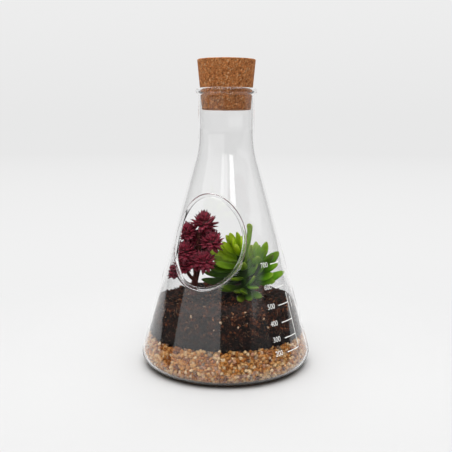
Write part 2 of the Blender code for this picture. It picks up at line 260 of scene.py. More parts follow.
def bandNode(tree, source, low, high, soft):
    # 1 between low and high, falling to 0 within soft on either side
    rise = addNode(
        tree, "ShaderNodeMapRange",
        {"interpolation_type": "SMOOTHSTEP", "From Min": low - soft / 2, "From Max": low + soft / 2},
        {"Value": source},
    )
    fall = addNode(
        tree, "ShaderNodeMapRange",
        {"interpolation_type": "SMOOTHSTEP", "From Min": high - soft / 2, "From Max": high + soft / 2,
         "To Min": 1.0, "To Max": 0.0},
        {"Value": source},
    )
    return addNode(tree, "ShaderNodeMath", {"operation": "MULTIPLY"}, {0: rise.outputs[0], 1: fall.outputs[0]})


def makeStudioLight():
    world = bpy.data.worlds.new("studio")
    world.use_nodes = True
    bpy.context.scene.world = world
    tree = world.node_tree
    tree.nodes.clear()
    where = addNode(tree, "ShaderNodeTexCoord")
    turned = addNode(
        tree, "ShaderNodeVectorRotate", {"rotation_type": "Z_AXIS", "Angle": -picture["azimuth"]},
        {"Vector": where.outputs["Generated"]},
    )
    split = addNode(tree, "ShaderNodeSeparateXYZ", None, {0: turned.outputs[0]})
    towards = addNode(tree, "ShaderNodeMath", {"operation": "MULTIPLY", 1: -1.0}, {0: split.outputs["Y"]})
    azimuth = addNode(
        tree, "ShaderNodeMath", {"operation": "ARCTAN2"}, {0: split.outputs["X"], 1: towards.outputs[0]}
    )
    azimuth = addNode(tree, "ShaderNodeMath", {"operation": "DEGREES"}, {0: azimuth.outputs[0]})
    elevation = addNode(tree, "ShaderNodeMath", {"operation": "ARCSINE"}, {0: split.outputs["Z"]})
    elevation = addNode(tree, "ShaderNodeMath", {"operation": "DEGREES"}, {0: elevation.outputs[0]})
    total = addNode(tree, "ShaderNodeValue")
    total.outputs[0].default_value = studio["room"]
    left, right, bottom, top, soft, bright = studio["behind"]
    copies = [(left, right, bottom, top, soft, bright), (left + 360, right + 360, bottom, top, soft, bright)]
    path = addNode(tree, "ShaderNodeLightPath")
    matt = addNode(
        tree, "ShaderNodeMath", {"operation": "SUBTRACT", 0: 1.0}, {1: path.outputs["Is Singular Ray"]}
    )
    for box in (*copies, studio["overhead"], *studio["boxes"], studio["front"]):
        left, right, bottom, top, soft, bright = box
        across = bandNode(tree, azimuth.outputs[0], left, right, soft)
        upright = bandNode(tree, elevation.outputs[0], bottom, top, soft)
        both = addNode(
            tree, "ShaderNodeMath", {"operation": "MULTIPLY"}, {0: across.outputs[0], 1: upright.outputs[0]}
        )
        if box == studio["front"]:
            both = addNode(
                tree, "ShaderNodeMath", {"operation": "MULTIPLY"}, {0: both.outputs[0], 1: matt.outputs[0]}
            )
        total = addNode(
            tree, "ShaderNodeMath", {"operation": "MULTIPLY_ADD", 1: bright},
            {0: both.outputs[0], 2: total.outputs[0]},
        )
    low, high = (linear(colour)[0] for colour in studio["backdrop"])
    backdrop = addNode(
        tree, "ShaderNodeMapRange", {"From Min": 0.0, "From Max": 10.0, "To Min": low, "To Max": high},
        {"Value": elevation.outputs[0]},
    )
    strength = addNode(
        tree, "ShaderNodeMix", {"data_type": "FLOAT"},
        {"Factor": path.outputs["Is Camera Ray"], 2: total.outputs[0], 3: backdrop.outputs[0]},
    )
    white = {"Color": (1.0, 1.0, 1.0, 1.0)}
    light = addNode(tree, "ShaderNodeBackground", white, {"Strength": strength.outputs[0]})
    addNode(tree, "ShaderNodeOutputWorld", None, {"Surface": light.outputs[0]})


floor = {
    "radius": 8.0,
    "below": 0.05 * mm,  # the flask's foot
    "paper": "#b6b6b6",
    "paintedFootShadow": "#3c3026",  # painted shadow: the paper under the foot, which the foot shuts off from the light, is coloured dark brown
    "footEdge": (57 * mm, 65 * mm),
    "shadeTo": 0.09,  # the paper shows its own shading up to here
    "evenFrom": 0.3,  # and is evenly bright from here on
    "near": "#f1f1f1",
    "far": "#e8e8e8",
    "farFrom": 3.0,
    "roomFrom": 0.3,  # on the camera's side, what the glass mirrors of the floor is dim from here on
    "roomShare": 0.12,
}


def floorMaterial():
    # matt white background paper: even, soft shadows only close to the flask, and a painted dark brown shadow under
    # the foot
    material, tree, output = newMaterial("matt white paper")
    where = addNode(tree, "ShaderNodeTexCoord")
    out = addNode(tree, "ShaderNodeVectorMath", {"operation": "LENGTH"}, {0: where.outputs["Object"]})
    grainOfPaper = addNode(
        tree, "ShaderNodeTexNoise", {"Scale": 900.0, "Detail": 3.0}, {"Vector": where.outputs["Object"]}
    )
    bump = addNode(
        tree, "ShaderNodeBump", {"Strength": 0.05, "Distance": 0.1 * mm},
        {"Height": grainOfPaper.outputs["Fac"]},
    )
    low, high = floor["footEdge"]
    uncovered = addNode(
        tree, "ShaderNodeMapRange", {"interpolation_type": "SMOOTHSTEP", "From Min": low, "From Max": high},
        {"Value": out.outputs["Value"]},
    )
    # painted shadow: the paper's colour goes from dark brown under the foot to grey past its edge
    paintedShadowPaper = addNode(
        tree, "ShaderNodeMix",
        {"data_type": "RGBA", "A": linear(floor["paintedFootShadow"]), "B": linear(floor["paper"])},
        {"Factor": uncovered.outputs[0]},
    )
    paper = addNode(
        tree, "ShaderNodeBsdfPrincipled", {"Roughness": 0.9, "Specular IOR Level": 0.1},
        {"Base Color": paintedShadowPaper.outputs["Result"], "Normal": bump.outputs[0]},
    )
    share = addNode(
        tree, "ShaderNodeMapRange", {"From Min": 0.5, "From Max": floor["farFrom"]},
        {"Value": out.outputs["Value"]},
    )
    colour = addNode(
        tree, "ShaderNodeMix",
        {"data_type": "RGBA", "A": linear(floor["near"]), "B": linear(floor["far"])},
        {"Factor": share.outputs[0]},
    )
    front = addNode(
        tree, "ShaderNodeVectorMath",
        {"operation": "DOT_PRODUCT", 1: tuple(ringPoints(1.0, 0.0, picture["azimuth"]))},
        {0: where.outputs["Object"]},
    )
    inRoom = addNode(
        tree, "ShaderNodeMapRange",
        {"interpolation_type": "SMOOTHSTEP", "From Min": 0.0, "From Max": floor["roomFrom"]},
        {"Value": front.outputs["Value"]},
    )
    path = addNode(tree, "ShaderNodeLightPath")
    mirrored = addNode(
        tree, "ShaderNodeMapRange", {"To Min": 1.0, "To Max": 0.0}, {"Value": path.outputs["Is Camera Ray"]}
    )
    dim = addNode(
        tree, "ShaderNodeMath", {"operation": "MULTIPLY"}, {0: inRoom.outputs[0], 1: mirrored.outputs[0]}
    )
    strength = addNode(
        tree, "ShaderNodeMapRange", {"To Min": 1.0, "To Max": floor["roomShare"]}, {"Value": dim.outputs[0]}
    )
    even = addNode(
        tree, "ShaderNodeEmission", None, {"Color": colour.outputs["Result"], "Strength": strength.outputs[0]}
    )
    fade = addNode(
        tree, "ShaderNodeMapRange",
        {"interpolation_type": "SMOOTHSTEP", "From Min": floor["shadeTo"], "From Max": floor["evenFrom"]},
        {"Value": out.outputs["Value"]},
    )
    both = addNode(
        tree, "ShaderNodeMixShader", None, {0: fade.outputs[0], 1: paper.outputs[0], 2: even.outputs[0]}
    )
    tree.links.new(both.outputs[0], output.inputs["Surface"])
    return material


def makeFloor():
    # a flat disc: rings of points that lie ever further apart
    columns = 96
    turns = np.arange(columns) * 2 * pi / columns
    radii = np.geomspace(0.05, floor["radius"], 24)[::-1, None]
    points = ringPoints(radii, -floor["below"], turns).reshape(-1, 3)
    points = np.concatenate([points, [[0, 0, -floor["below"]]]])
    rows = len(radii)
    last = (rows - 1) * columns + np.arange(columns)
    middle = np.stack([np.full(columns, rows * columns), last, np.roll(last, -1)], 1)
    disc = buildPiece("floor", points, [gridFaces(rows, columns), middle], floorMaterial())


# Flask: a one-litre conical flask of borosilicate glass with a melted edge round its side opening
flaskLow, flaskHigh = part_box("glass_flask")
flask = {
    "footRadius": flaskHigh.x,
    "height": flaskHigh.z,
    "heelRadius": 10 * mm,
    "coneAngle": radians(15.9),
    "neckRadius": 21 * mm,
    "shoulderRadius": 80 * mm,
    "lipRadius": 23 * mm,
    "lipRoll": 2.3 * mm,
    "wall": 1.5 * mm,
    "neckWall": 1.5 * mm,
    "floor": 1.7 * mm,
    "lastBounce": 14,
    "hollow": 0.5 * mm,  # of the base, inside the ring that it stands on
    "columns": 192,
}
opening = {
    "middle": 100.9 * mm,
    "halfWidth": 25.2 * mm,
    "halfHeight": 31.3 * mm,
    "egg": 0.11,  # share of its width that the upper end loses and the lower end gains
    "turn": radians(-0.7),  # from straight ahead
    "bead": 1.4 * mm,
    "beadBlend": 0.3 * mm,
    "beadReach": 3.0 * mm,  # from the middle of the bead to where the wall is plain again
    "patch": (60 * mm, 142 * mm),  # heights between which the wall is remade round the opening
    "patchTurn": radians(60),
    "patchRows": 41,
}
corkLow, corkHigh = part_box("cork_stopper")
cork = {
    "bottomRadius": 18.4 * mm,
    "topRadius": corkHigh.x,
    "bottom": corkLow.z,
    "top": corkHigh.z,
    "edge": 0.8 * mm,
    "gap": 0.3 * mm,  # to the glass
    "granule": 0.9 * mm,
    "crack": 0.2 * mm,
    "rowStep": 0.56 * mm,
    "columns": 240,
}


def arcLine(middle, radius, start, end, steps):
    turns = np.linspace(start, end, steps + 1)
    return np.stack([middle[0] + radius * np.cos(turns), middle[1] + radius * np.sin(turns)], 1)


def heelTop(inner):
    # where the heel's arc meets the cone, on the outer or the inner face
    radius = flask["heelRadius"] - (flask["wall"] if inner else 0)
    middle = (flask["footRadius"] - flask["heelRadius"], radius + (flask["floor"] if inner else 0))
    angle = flask["coneAngle"]
    return middle, radius, middle[0] + radius * np.cos(angle), middle[1] + radius * np.sin(angle)


def coneRadius(height, inner):
    # the straight cone: its radius falls with height by the tangent of the cone's angle
    _, _, radius, start = heelTop(inner)
    return radius - (height - start) * np.tan(flask["coneAngle"])


def neckInside():
    return flask["neckRadius"] - flask["neckWall"]


def coneLevels():
    # heights of the cone's rows; those of the patch are the same on both faces
    low, high = opening["patch"]
    below = np.linspace(16 * mm, low, 14)[:-1]
    patch = np.linspace(low, high, opening["patchRows"] + 1)
    return below, patch, np.linspace(high, 152 * mm, 5)[1:]


def wallLine(inner):
    # one face of the glass from foot to neck: a heel arc, a straight cone and a wide bend
    middle, radius, _, _ = heelTop(inner)
    angle = flask["coneAngle"]
    levels = np.concatenate(coneLevels())
    neck = neckInside() if inner else flask["neckRadius"]
    bend = flask["shoulderRadius"] + (flask["wall"] if inner else 0)
    corner = heelTop(inner)[3] + (heelTop(inner)[2] - neck) / np.tan(angle)
    centre = (neck + bend, corner + bend * np.tan(angle / 2))
    return np.concatenate([
        arcLine(middle, radius, -pi / 2, angle, 16),
        np.stack([coneRadius(levels, inner), levels], 1),
        arcLine(centre, bend, pi + angle, pi, 14),
    ])


def corkRadius(height):
    return np.interp(height, [cork["bottom"], cork["top"]], [cork["bottomRadius"], cork["topRadius"]])


def mouthLine():
    # the mouth widens with the cork's taper, then rolls over to the neck's outside
    taper = (cork["topRadius"] - cork["bottomRadius"]) / (cork["top"] - cork["bottom"])
    flare = cork["bottom"] + (neckInside() - cork["gap"] - cork["bottomRadius"]) / taper
    rim = flask["height"] - cork["gap"]
    roll = (flask["lipRadius"] - flask["lipRoll"], flask["height"] - flask["lipRoll"])
    inside = np.linspace([neckInside(), flare], [corkRadius(rim) + cork["gap"], rim], 8)
    lip = arcLine(roll, flask["lipRoll"], pi / 2, -pi / 3, 16)
    under = flask["height"] - 2.5 * flask["lipRoll"]
    fillet = np.array([[flask["neckRadius"] + 0.25 * mm, under + 0.75 * mm], [flask["neckRadius"], under - 0.2 * mm]])
    return np.concatenate([inside, lip, fillet])


def innerRadiusAt(height):
    line = wallLine(True)
    return np.interp(height, line[:, 1], line[:, 0])


def wallPoints(turn, height, inner):
    return ringPoints(coneRadius(height, inner), height, turn)


def beadHeight(away):
    # half the glass's thickness at a distance from the bead's middle: a smooth maximum of bead and wall
    half = (coneRadius(0.1, False) - coneRadius(0.1, True)) / 2 * np.cos(flask["coneAngle"])
    hump = np.sqrt(np.maximum(opening["bead"] ** 2 - away**2, 0))
    both = (half + hump + np.sqrt((half - hump) ** 2 + opening["beadBlend"] ** 2)) / 2
    return half + (both - half) * (1 - smoothStep(away, 0.6 * opening["beadReach"], opening["beadReach"]))


def openingRings(turn, height):
    # the wall remade from the patch's outer edge over the bead to the patch's inner edge: the section of
    # the melted edge, carried along the opening's outline
    radius = lambda level: (coneRadius(level, False) + coneRadius(level, True)) / 2
    reach = (turn - opening["turn"]) * radius(opening["middle"])
    t = np.arctan2((height - opening["middle"]) / opening["halfHeight"], reach / opening["halfWidth"])
    x = (opening["halfWidth"] + opening["bead"]) * (1 - opening["egg"] * np.sin(t)) * np.cos(t)
    z = opening["middle"] + (opening["halfHeight"] + opening["bead"]) * np.sin(t)
    sideways = np.arcsin(x / radius(z)) + opening["turn"]
    middle = ringPoints(radius(z), z, sideways)
    slope = flask["coneAngle"]

    def outwards(azimuth):
        return ringPoints(np.cos(slope), np.sin(slope), azimuth)

    along = unit(np.roll(middle, -1, 0) - np.roll(middle, 1, 0))
    up = outwards(sideways)
    away = unit(np.cross(along, up))
    away *= np.sign((away * (middle - middle.mean(0))).sum(1, keepdims=True))

    def onWall(distance, side):
        spot = middle + away * distance
        azimuth = np.arctan2(spot[:, 0], -spot[:, 1])
        level = spot[:, 2]
        return ringPoints(radius(level), level, azimuth) + side * beadHeight(distance) * outwards(azimuth)

    def plain(inner, share):
        start = onWall(opening["beadReach"], -1 if inner else 1)
        azimuth = np.arctan2(start[:, 0], -start[:, 1])
        return wallPoints(
            azimuth + (turn - azimuth) * share, start[:, 2] + (height - start[:, 2]) * share, inner
        )

    shares = np.linspace(1, 0, 12)[1:-1]
    steps = opening["beadReach"] * np.linspace(1, 0, 15)
    half = [middle + away * opening["bead"] * np.cos(a) + up * beadHeight(np.array(0.0)) * np.sin(a)
            for a in np.linspace(pi / 2, 3 * pi / 2, 17)[1:-1]]
    outer = [plain(False, share) for share in shares] + [onWall(step, 1) for step in steps]
    inner = [onWall(step, -1) for step in steps[::-1]] + [plain(True, share) for share in shares[::-1]]
    return np.array(outer + half + inner)


def flaskShape():
    # a profile of inner face, mouth and outer face turned about Z, with a patch of both walls remade
    inner, outer = wallLine(True), wallLine(False)
    share = np.array([0.015, 0.035, 0.06, 0.1, 0.5])
    base = np.stack([outer[0, 0] * (1 - share), flask["hollow"] * smoothStep(share, 0, 0.1)], 1)
    line = np.concatenate([inner, mouthLine(), outer[::-1], base])
    columns, rows, lastRow = flask["columns"], len(line), len(line) - 1 - len(base)
    turns = np.arange(columns) * 2 * pi / columns
    points = ringPoints(line[:, :1], line[:, 1:], turns).reshape(-1, 3)
    ends = [[0, 0, flask["floor"]], [0, 0, flask["hollow"]]]
    faces = closedGrid(rows, columns)
    patchStart = 17 + len(coneLevels()[0])
    levels = coneLevels()[1]
    side = round(opening["patchTurn"] / (2 * pi) * columns)
    bottomRow = {True: patchStart, False: lastRow - patchStart}
    step = {True: 1, False: -1}

    def loop(isInner):
        # the patch's edge, once round, as point numbers
        across, up = np.arange(-side, side), np.arange(opening["patchRows"])
        row = lambda k: bottomRow[isInner] + step[isInner] * k
        last = opening["patchRows"]
        return np.concatenate([
            row(0) * columns + across % columns,
            row(up) * columns + side,
            row(last) * columns + (-across) % columns,
            row(last - up) * columns + (-side) % columns,
        ])

    across, up = np.arange(-side, side), np.arange(opening["patchRows"])
    turn = np.concatenate([across, np.full(len(up), side), -across, np.full(len(up), -side)]) * 2 * pi / columns
    height = np.concatenate([np.full(len(across), levels[0]), levels[up],
                             np.full(len(across), levels[-1]), levels[len(levels) - 1 - up]])
    rings = openingRings(turn, height)
    quads = faces[0].reshape(rows - 1, columns, 4)
    keep = np.ones((rows - 1, columns), bool)
    inPatch = np.isin(np.arange(columns), np.arange(-side, side) % columns)
    keep[patchStart : patchStart + opening["patchRows"], inPatch] = False
    keep[lastRow - patchStart - opening["patchRows"] : lastRow - patchStart, inPatch] = False
    ring = rings.shape[1]
    start = len(points) + 2
    numbers = start + np.arange(len(rings) * ring).reshape(len(rings), ring)
    numbers = np.concatenate([loop(False)[None], numbers, loop(True)[None]])
    here, above = numbers[:-1], numbers[1:]
    patch = np.stack([here, np.roll(here, -1, 1), np.roll(above, -1, 1), above], -1).reshape(-1, 4)
    faces = [quads[keep][:, ::-1], faces[1][:, ::-1], faces[2][:, ::-1], patch]
    return np.concatenate([points, ends, rings.reshape(-1, 3)]), faces


def glassMaterial():
    # clear borosilicate glass, blown and flame-polished: colourless, with a faint wave in its reflections.
    # Light from the lamps goes straight through it, as it nearly does through so thin a wall, and so does
    # light that has been sent to and fro inside the wall many times.
    material, tree, output = newMaterial("clear borosilicate glass")
    where = addNode(tree, "ShaderNodeTexCoord")
    wave = addNode(
        tree, "ShaderNodeTexNoise", {"Scale": 1 / (18 * mm), "Detail": 1.0}, {"Vector": where.outputs["Object"]}
    )
    bump = addNode(
        tree, "ShaderNodeBump", {"Strength": 0.35, "Distance": 0.25 * mm}, {"Height": wave.outputs["Fac"]}
    )
    glass = addNode(
        tree, "ShaderNodeBsdfPrincipled",
        {"Base Color": linear("#fdfdfd"), "Roughness": 0.0, "IOR": 1.473, "Transmission Weight": 1.0},
        {"Normal": bump.outputs[0]},
    )
    through = addNode(tree, "ShaderNodeBsdfTransparent", {"Color": linear("#f8f8f8")})
    path = addNode(tree, "ShaderNodeLightPath")
    caught = addNode(
        tree, "ShaderNodeMath", {"operation": "GREATER_THAN", 1: flask["lastBounce"]},
        {0: path.outputs["Ray Depth"]},
    )
    straight = addNode(
        tree, "ShaderNodeMath", {"operation": "MAXIMUM"},
        {0: path.outputs["Is Shadow Ray"], 1: caught.outputs[0]},
    )
    both = addNode(
        tree, "ShaderNodeMixShader", None, {0: straight.outputs[0], 1: glass.outputs[0], 2: through.outputs[0]}
    )
    tree.links.new(both.outputs[0], output.inputs["Surface"])
    return material


def makeFlask():
    points, faces = flaskShape()
    piece = buildPiece("flask_glass", points, faces, glassMaterial())
    place(piece, "glass", "glass_flask")


# Printed scale: plain white numbers and lines, fired on the outside of the cone
scale = {
    "numbers": ((700, 83.6), (600, 68.1), (500, 54.4), (400, 42.5), (300, 31.5), (200, 21.7)),
    "tickLevels": (83.5, 66.5, 54.0, 41.8, 30.8, 20.9),
    "numberTurn": radians(60.2),
    "numberWidth": 6.6 * mm,
    "numberHeight": 3.6 * mm,
    "tick": (radians(68), radians(81.5)),
    "upright": (radians(81.8), 20.9 * mm, 61 * mm),
    "shortUpright": (radians(87), 49 * mm, 57 * mm),
    "line": 0.65 * mm,
    "thickness": 0.06 * mm,
    "above": 0.02 * mm,  # the glass
}


def ontoCone(turn, height, lift):
    # a point at an azimuth and a height, lifted off the outer wall
    angle = flask["coneAngle"]
    return ringPoints(coneRadius(height, False) + lift * np.cos(angle), height + lift * np.sin(angle), turn)


def strip(turns, heights, across):
    # a printed line along points on the cone: a flat box section carried along them
    low, high = scale["above"], scale["above"] + scale["thickness"]
    width = scale["line"] / 2
    rows = []
    for side, lift in ((-1, low), (1, low), (1, high), (-1, high)):
        turn = turns + side * width * across[0] / coneRadius(heights, False)
        rows.append(ontoCone(turn, heights + side * width * across[1], lift))
    rings = np.stack(rows, 1)
    ends = [rings[0].mean(0), rings[-1].mean(0)]
    return np.concatenate([rings.reshape(-1, 3), ends]), closedGrid(len(turns), 4)


def numberShape(number, level):
    # a number drawn flat, laid on the cone round its own middle
    curve = bpy.data.curves.new("number", "FONT")
    curve.body = str(number)
    curve.extrude = 0.5
    curve.offset = -0.004
    curve.resolution_u = 4
    drawn = bpy.data.objects.new("number", curve)
    bpy.context.scene.collection.objects.link(drawn)
    bpy.context.view_layer.update()
    mesh = bpy.data.meshes.new_from_object(drawn.evaluated_get(bpy.context.evaluated_depsgraph_get()))
    bpy.data.objects.remove(drawn)
    work = bmesh.new()
    work.from_mesh(mesh)
    bmesh.ops.remove_doubles(work, verts=work.verts, dist=0.0005)
    work.to_mesh(mesh)
    work.free()
    flat = np.zeros(len(mesh.vertices) * 3)
    mesh.vertices.foreach_get("co", flat)
    flat = flat.reshape(-1, 3)
    low, high = flat.min(0), flat.max(0)
    share = (flat - low) / (high - low) - (0.5, 0.5, 0)
    height = level + share[:, 1] * scale["numberHeight"]
    turn = scale["numberTurn"] + share[:, 0] * scale["numberWidth"] / coneRadius(level, False)
    points = ontoCone(turn, height, scale["above"] + share[:, 2] * scale["thickness"])
    return points, [np.array([list(face.vertices)]) for face in mesh.polygons]


def enamelMaterial():
    # white glass enamel, screen printed and fired: opaque, a little chalky, thinner in tiny spots
    material, tree, output = newMaterial("white fired enamel")
    where = addNode(tree, "ShaderNodeTexCoord")
    spots = addNode(
        tree, "ShaderNodeTexNoise", {"Scale": 1 / (0.4 * mm), "Detail": 2.0}, {"Vector": where.outputs["Object"]}
    )
    colour = addNode(
        tree, "ShaderNodeValToRGB", {"stops": ((0.3, "#dfe0de"), (0.5, "#f7f7f4"))},
        {"Fac": spots.outputs["Fac"]},
    )
    enamel = addNode(
        tree, "ShaderNodeBsdfPrincipled", {"Roughness": 0.45}, {"Base Color": colour.outputs[0]}
    )
    tree.links.new(enamel.outputs[0], output.inputs["Surface"])
    return material


def makeScale():
    shapes = [numberShape(number, level * mm) for number, level in scale["numbers"]]
    turns = np.linspace(*scale["tick"], 14)
    for level in scale["tickLevels"]:
        shapes.append(strip(turns, np.full(len(turns), level * mm), (0, 1)))
    for turn, bottom, top in (scale["upright"], scale["shortUpright"]):
        heights = np.linspace(bottom, top, 12)
        shapes.append(strip(np.full(len(heights), turn), heights, (1, 0)))
    points, faces, count = [], [], 0
    for shape, parts in shapes:
        points.append(shape)
        faces += [part + count for part in parts]
        count += len(shape)
    piece = buildPiece("printed_scale", np.concatenate(points), faces, enamelMaterial())
    place(piece, None)


# Cork stopper: pressed from granules

def corkMaterial():
    # agglomerated cork: granules in several browns pressed together, dark seams and specks, dry and matt
    material, tree, output = newMaterial("pressed granulated cork")
    where = addNode(tree, "ShaderNodeTexCoord")
    tone = addNode(tree, "ShaderNodeAttribute", {"attribute_name": "granuleTone"})
    crack = addNode(tree, "ShaderNodeAttribute", {"attribute_name": "granuleCrack"})
    colour = addNode(
        tree, "ShaderNodeValToRGB",
        {"stops": ((0.0, "#86451f"), (0.12, "#ba6e38"), (0.4, "#d28348"), (0.7, "#da8e50"),
                   (0.9, "#dea06a"), (1.0, "#e4b484"))},
        {"Fac": tone.outputs["Fac"]},
    )
    fine = addNode(
        tree, "ShaderNodeTexNoise", {"Scale": 1 / (0.9 * mm), "Detail": 5.0, "Roughness": 0.7},
        {"Vector": where.outputs["Object"]},
    )
    mottle = addNode(
        tree, "ShaderNodeMapRange", {"From Min": 0.3, "From Max": 0.7, "To Min": 0.72, "To Max": 1.22},
        {"Value": fine.outputs["Fac"]},
    )
    speck = addNode(
        tree, "ShaderNodeTexNoise", {"Scale": 1 / (1.5 * mm), "Detail": 2.0},
        {"Vector": where.outputs["Object"]},
    )
    dark = addNode(
        tree, "ShaderNodeMapRange", {"From Min": 0.62, "From Max": 0.7, "To Min": 1.0, "To Max": 0.35},
        {"Value": speck.outputs["Fac"]},
    )
    seam = addNode(
        tree, "ShaderNodeMapRange", {"From Min": 0.0, "From Max": 1.0, "To Min": 1.0, "To Max": 0.5},
        {"Value": crack.outputs["Fac"]},
    )
    shade = addNode(tree, "ShaderNodeMath", {"operation": "MULTIPLY"}, {0: mottle.outputs[0], 1: dark.outputs[0]})
    shade = addNode(tree, "ShaderNodeMath", {"operation": "MULTIPLY"}, {0: shade.outputs[0], 1: seam.outputs[0]})
    shaded = addNode(
        tree, "ShaderNodeVectorMath", {"operation": "SCALE"}, {0: colour.outputs[0], "Scale": shade.outputs[0]}
    )
    bump = addNode(
        tree, "ShaderNodeBump", {"Strength": 0.5, "Distance": 0.15 * mm}, {"Height": fine.outputs["Fac"]}
    )
    body = addNode(
        tree, "ShaderNodeBsdfPrincipled", {"Roughness": 0.85, "Specular IOR Level": 0.3},
        {"Base Color": shaded.outputs[0], "Normal": bump.outputs[0]},
    )
    tree.links.new(body.outputs[0], output.inputs["Surface"])
    return material


def makeCork():
    # a tapered plug with rounded edges, its face sunk along the seams between granules
    draw = np.random.default_rng(11)
    edge = cork["edge"]
    top = arcLine((cork["topRadius"] - edge, cork["top"] - edge), edge, pi / 2, 0, 4)
    bottom = arcLine((cork["bottomRadius"] - edge, cork["bottom"] + edge), edge, 0, -pi / 2, 4)
    sideRows = round((cork["top"] - cork["bottom"]) / cork["rowStep"])
    side = np.linspace(top[-1], bottom[0], sideRows)[1:-1]
    faceRows = round(cork["topRadius"] / cork["rowStep"])
    topFace = np.linspace([cork["rowStep"], cork["top"]], top[0], faceRows)[:-1]
    bottomFace = np.linspace(bottom[-1], [cork["rowStep"], cork["bottom"]], faceRows)[1:]
    line = np.concatenate([topFace, top, side, bottom, bottomFace])
    turns = np.arange(cork["columns"]) * 2 * pi / cork["columns"]
    smooth = ringPoints(line[:, :1], line[:, 1:], turns).reshape(-1, 3)
    smooth = np.concatenate([smooth, [[0, 0, cork["top"]], [0, 0, cork["bottom"]]]])
    length = np.concatenate([[0], np.linalg.norm(np.diff(line, axis=0), axis=1).cumsum()])
    share = np.interp(np.arange(len(line)), np.arange(len(line)), length)
    weight = line[:, 0] / line[:, 0].sum()
    count = round((2 * pi * line[:, 0] * np.gradient(share)).sum() / cork["granule"] ** 2)
    row = draw.choice(len(line), count, p=weight)
    centres = ringPoints(line[row, 0], line[row, 1], draw.uniform(0, 2 * pi, count))
    centres += draw.normal(size=centres.shape) * 0.3 * cork["granule"]
    first, second, which = nearestCells(smooth, centres)
    crack = 1 - smoothStep(second - first, 0.05 * mm, 0.45 * mm)
    tone = draw.uniform(0, 1, count)[which]
    depth = cork["crack"] * (0.75 * crack + 0.35 * draw.uniform(0, 1, count)[which])
    inward = -unit(smooth - [0, 0, (cork["top"] + cork["bottom"]) / 2] + 1e-9)
    flat = np.abs(smooth[:, 2] - (cork["top"] + cork["bottom"]) / 2) > (cork["top"] - cork["bottom"]) / 2 - 0.2 * mm
    inward = np.where(flat[:, None], [0, 0, 1] * -np.sign(smooth[:, 2:] - cork["bottom"] - 1 * mm),
                      -unit(smooth * [1, 1, 0] + 1e-9))
    points = smooth + inward * depth[:, None]
    faces = closedGrid(len(line), cork["columns"])
    piece = buildPiece(
        "cork_granules", points, [part[:, ::-1] for part in faces], corkMaterial(),
        {"granuleTone": tone, "granuleCrack": crack},
    )
    place(piece, "cork", "cork_stopper")


# Gravel: washed grit between the glass and the soil
gravel = {
    "top": 25.5 * mm,
    "wave": 0.8 * mm,
    "spacing": 2.75 * mm,
    "rowSpacing": 2.2 * mm,
    "smallest": 3.0 * mm,
    "largest": 4.6 * mm,
    "toGlass": 0.12 * mm,
    "secondLayer": 1.2 * mm,
    "core": 2.3 * mm,  # behind the glass
    "rise": 0.75 * mm,  # spread of the stones' tops where they meet the soil
}


def bedLine(start, top, inset):
    # the inside of the glass from a radius on the floor round the heel to a height, moved inwards
    line = wallLine(True)
    line = np.concatenate([np.linspace([start, flask["floor"]], line[0], 12)[:-1], line])
    line = line[line[:, 1] <= top]
    along = unit(np.gradient(line, axis=0))
    normal = np.stack([-along[:, 1], along[:, 0]], 1)
    return line + normal * inset, normal


def evenPoints(line, normal, step):
    # the line's points and normals at even steps along it
    length = np.concatenate([[0], np.linalg.norm(np.diff(line, axis=0), axis=1).cumsum()])
    at = np.arange(step / 2, length[-1], step)
    pick = lambda numbers: np.stack([np.interp(at, length, numbers[:, k]) for k in (0, 1)], 1)
    return pick(line), unit(pick(normal))


def stoneMaterial():
    # river grit of quartz and feldspar: ochre, tan, cream and a few pink and grey grains, smooth and slightly wet
    material, tree, output = newMaterial("quartz grit")
    where = addNode(tree, "ShaderNodeTexCoord")
    tone = addNode(tree, "ShaderNodeAttribute", {"attribute_name": "stoneTone"})
    colour = addNode(
        tree, "ShaderNodeValToRGB",
        {"stops": ((0.0, "#5e2f10"), (0.12, "#985614"), (0.28, "#b2722a"), (0.46, "#bb8240"), (0.62, "#c6965c"),
                   (0.78, "#d2ac7a"), (0.88, "#dcc09a"), (0.94, "#ba8464"), (0.985, "#84705c"))},
        {"Fac": tone.outputs["Fac"]},
    )
    vein = addNode(
        tree, "ShaderNodeTexNoise", {"Scale": 1 / (1.3 * mm), "Detail": 4.0, "Roughness": 0.65},
        {"Vector": where.outputs["Object"]},
    )
    shade = addNode(
        tree, "ShaderNodeMapRange", {"From Min": 0.3, "From Max": 0.7, "To Min": 0.7, "To Max": 1.2},
        {"Value": vein.outputs["Fac"]},
    )
    shaded = addNode(
        tree, "ShaderNodeVectorMath", {"operation": "SCALE"}, {0: colour.outputs[0], "Scale": shade.outputs[0]}
    )
    bump = addNode(
        tree, "ShaderNodeBump", {"Strength": 0.4, "Distance": 0.12 * mm}, {"Height": vein.outputs["Fac"]}
    )
    stone = addNode(
        tree, "ShaderNodeBsdfPrincipled", {"Roughness": 0.42},
        {"Base Color": shaded.outputs[0], "Normal": bump.outputs[0]},
    )
    tree.links.new(stone.outputs[0], output.inputs["Surface"])
    return material


def stoneSpots(draw, inset, spacing):
    # rows of places along the glass, each row shifted and each place moved at random, and their tones
    line, normal = bedLine(40 * mm, gravel["top"] + 2 * mm, 0)
    at, normals = evenPoints(line, normal, gravel["rowSpacing"])
    places = []
    for (radius, height), (outR, outZ) in zip(at, normals):
        count = round(2 * pi * radius / spacing)
        turns = (np.arange(count) + draw.uniform(-0.35, 0.35, count) + draw.uniform()) * 2 * pi / count
        shift = draw.uniform(-0.3, 0.3, count) * gravel["rowSpacing"]
        r = radius + outR * inset + outZ * shift
        z = height + outZ * inset - outR * shift
        places.append(np.stack([r, z, turns, np.full(count, outR), np.full(count, outZ)], 1))
    places = np.concatenate(places)
    edge = gravel["top"] + gravel["wave"] * np.sin(3 * places[:, 2]) + gravel["rise"] * waveNoise(
        ringPoints(60 * mm, 0, places[:, 2]), 7 * mm, draw)
    return places[places[:, 1] < edge]


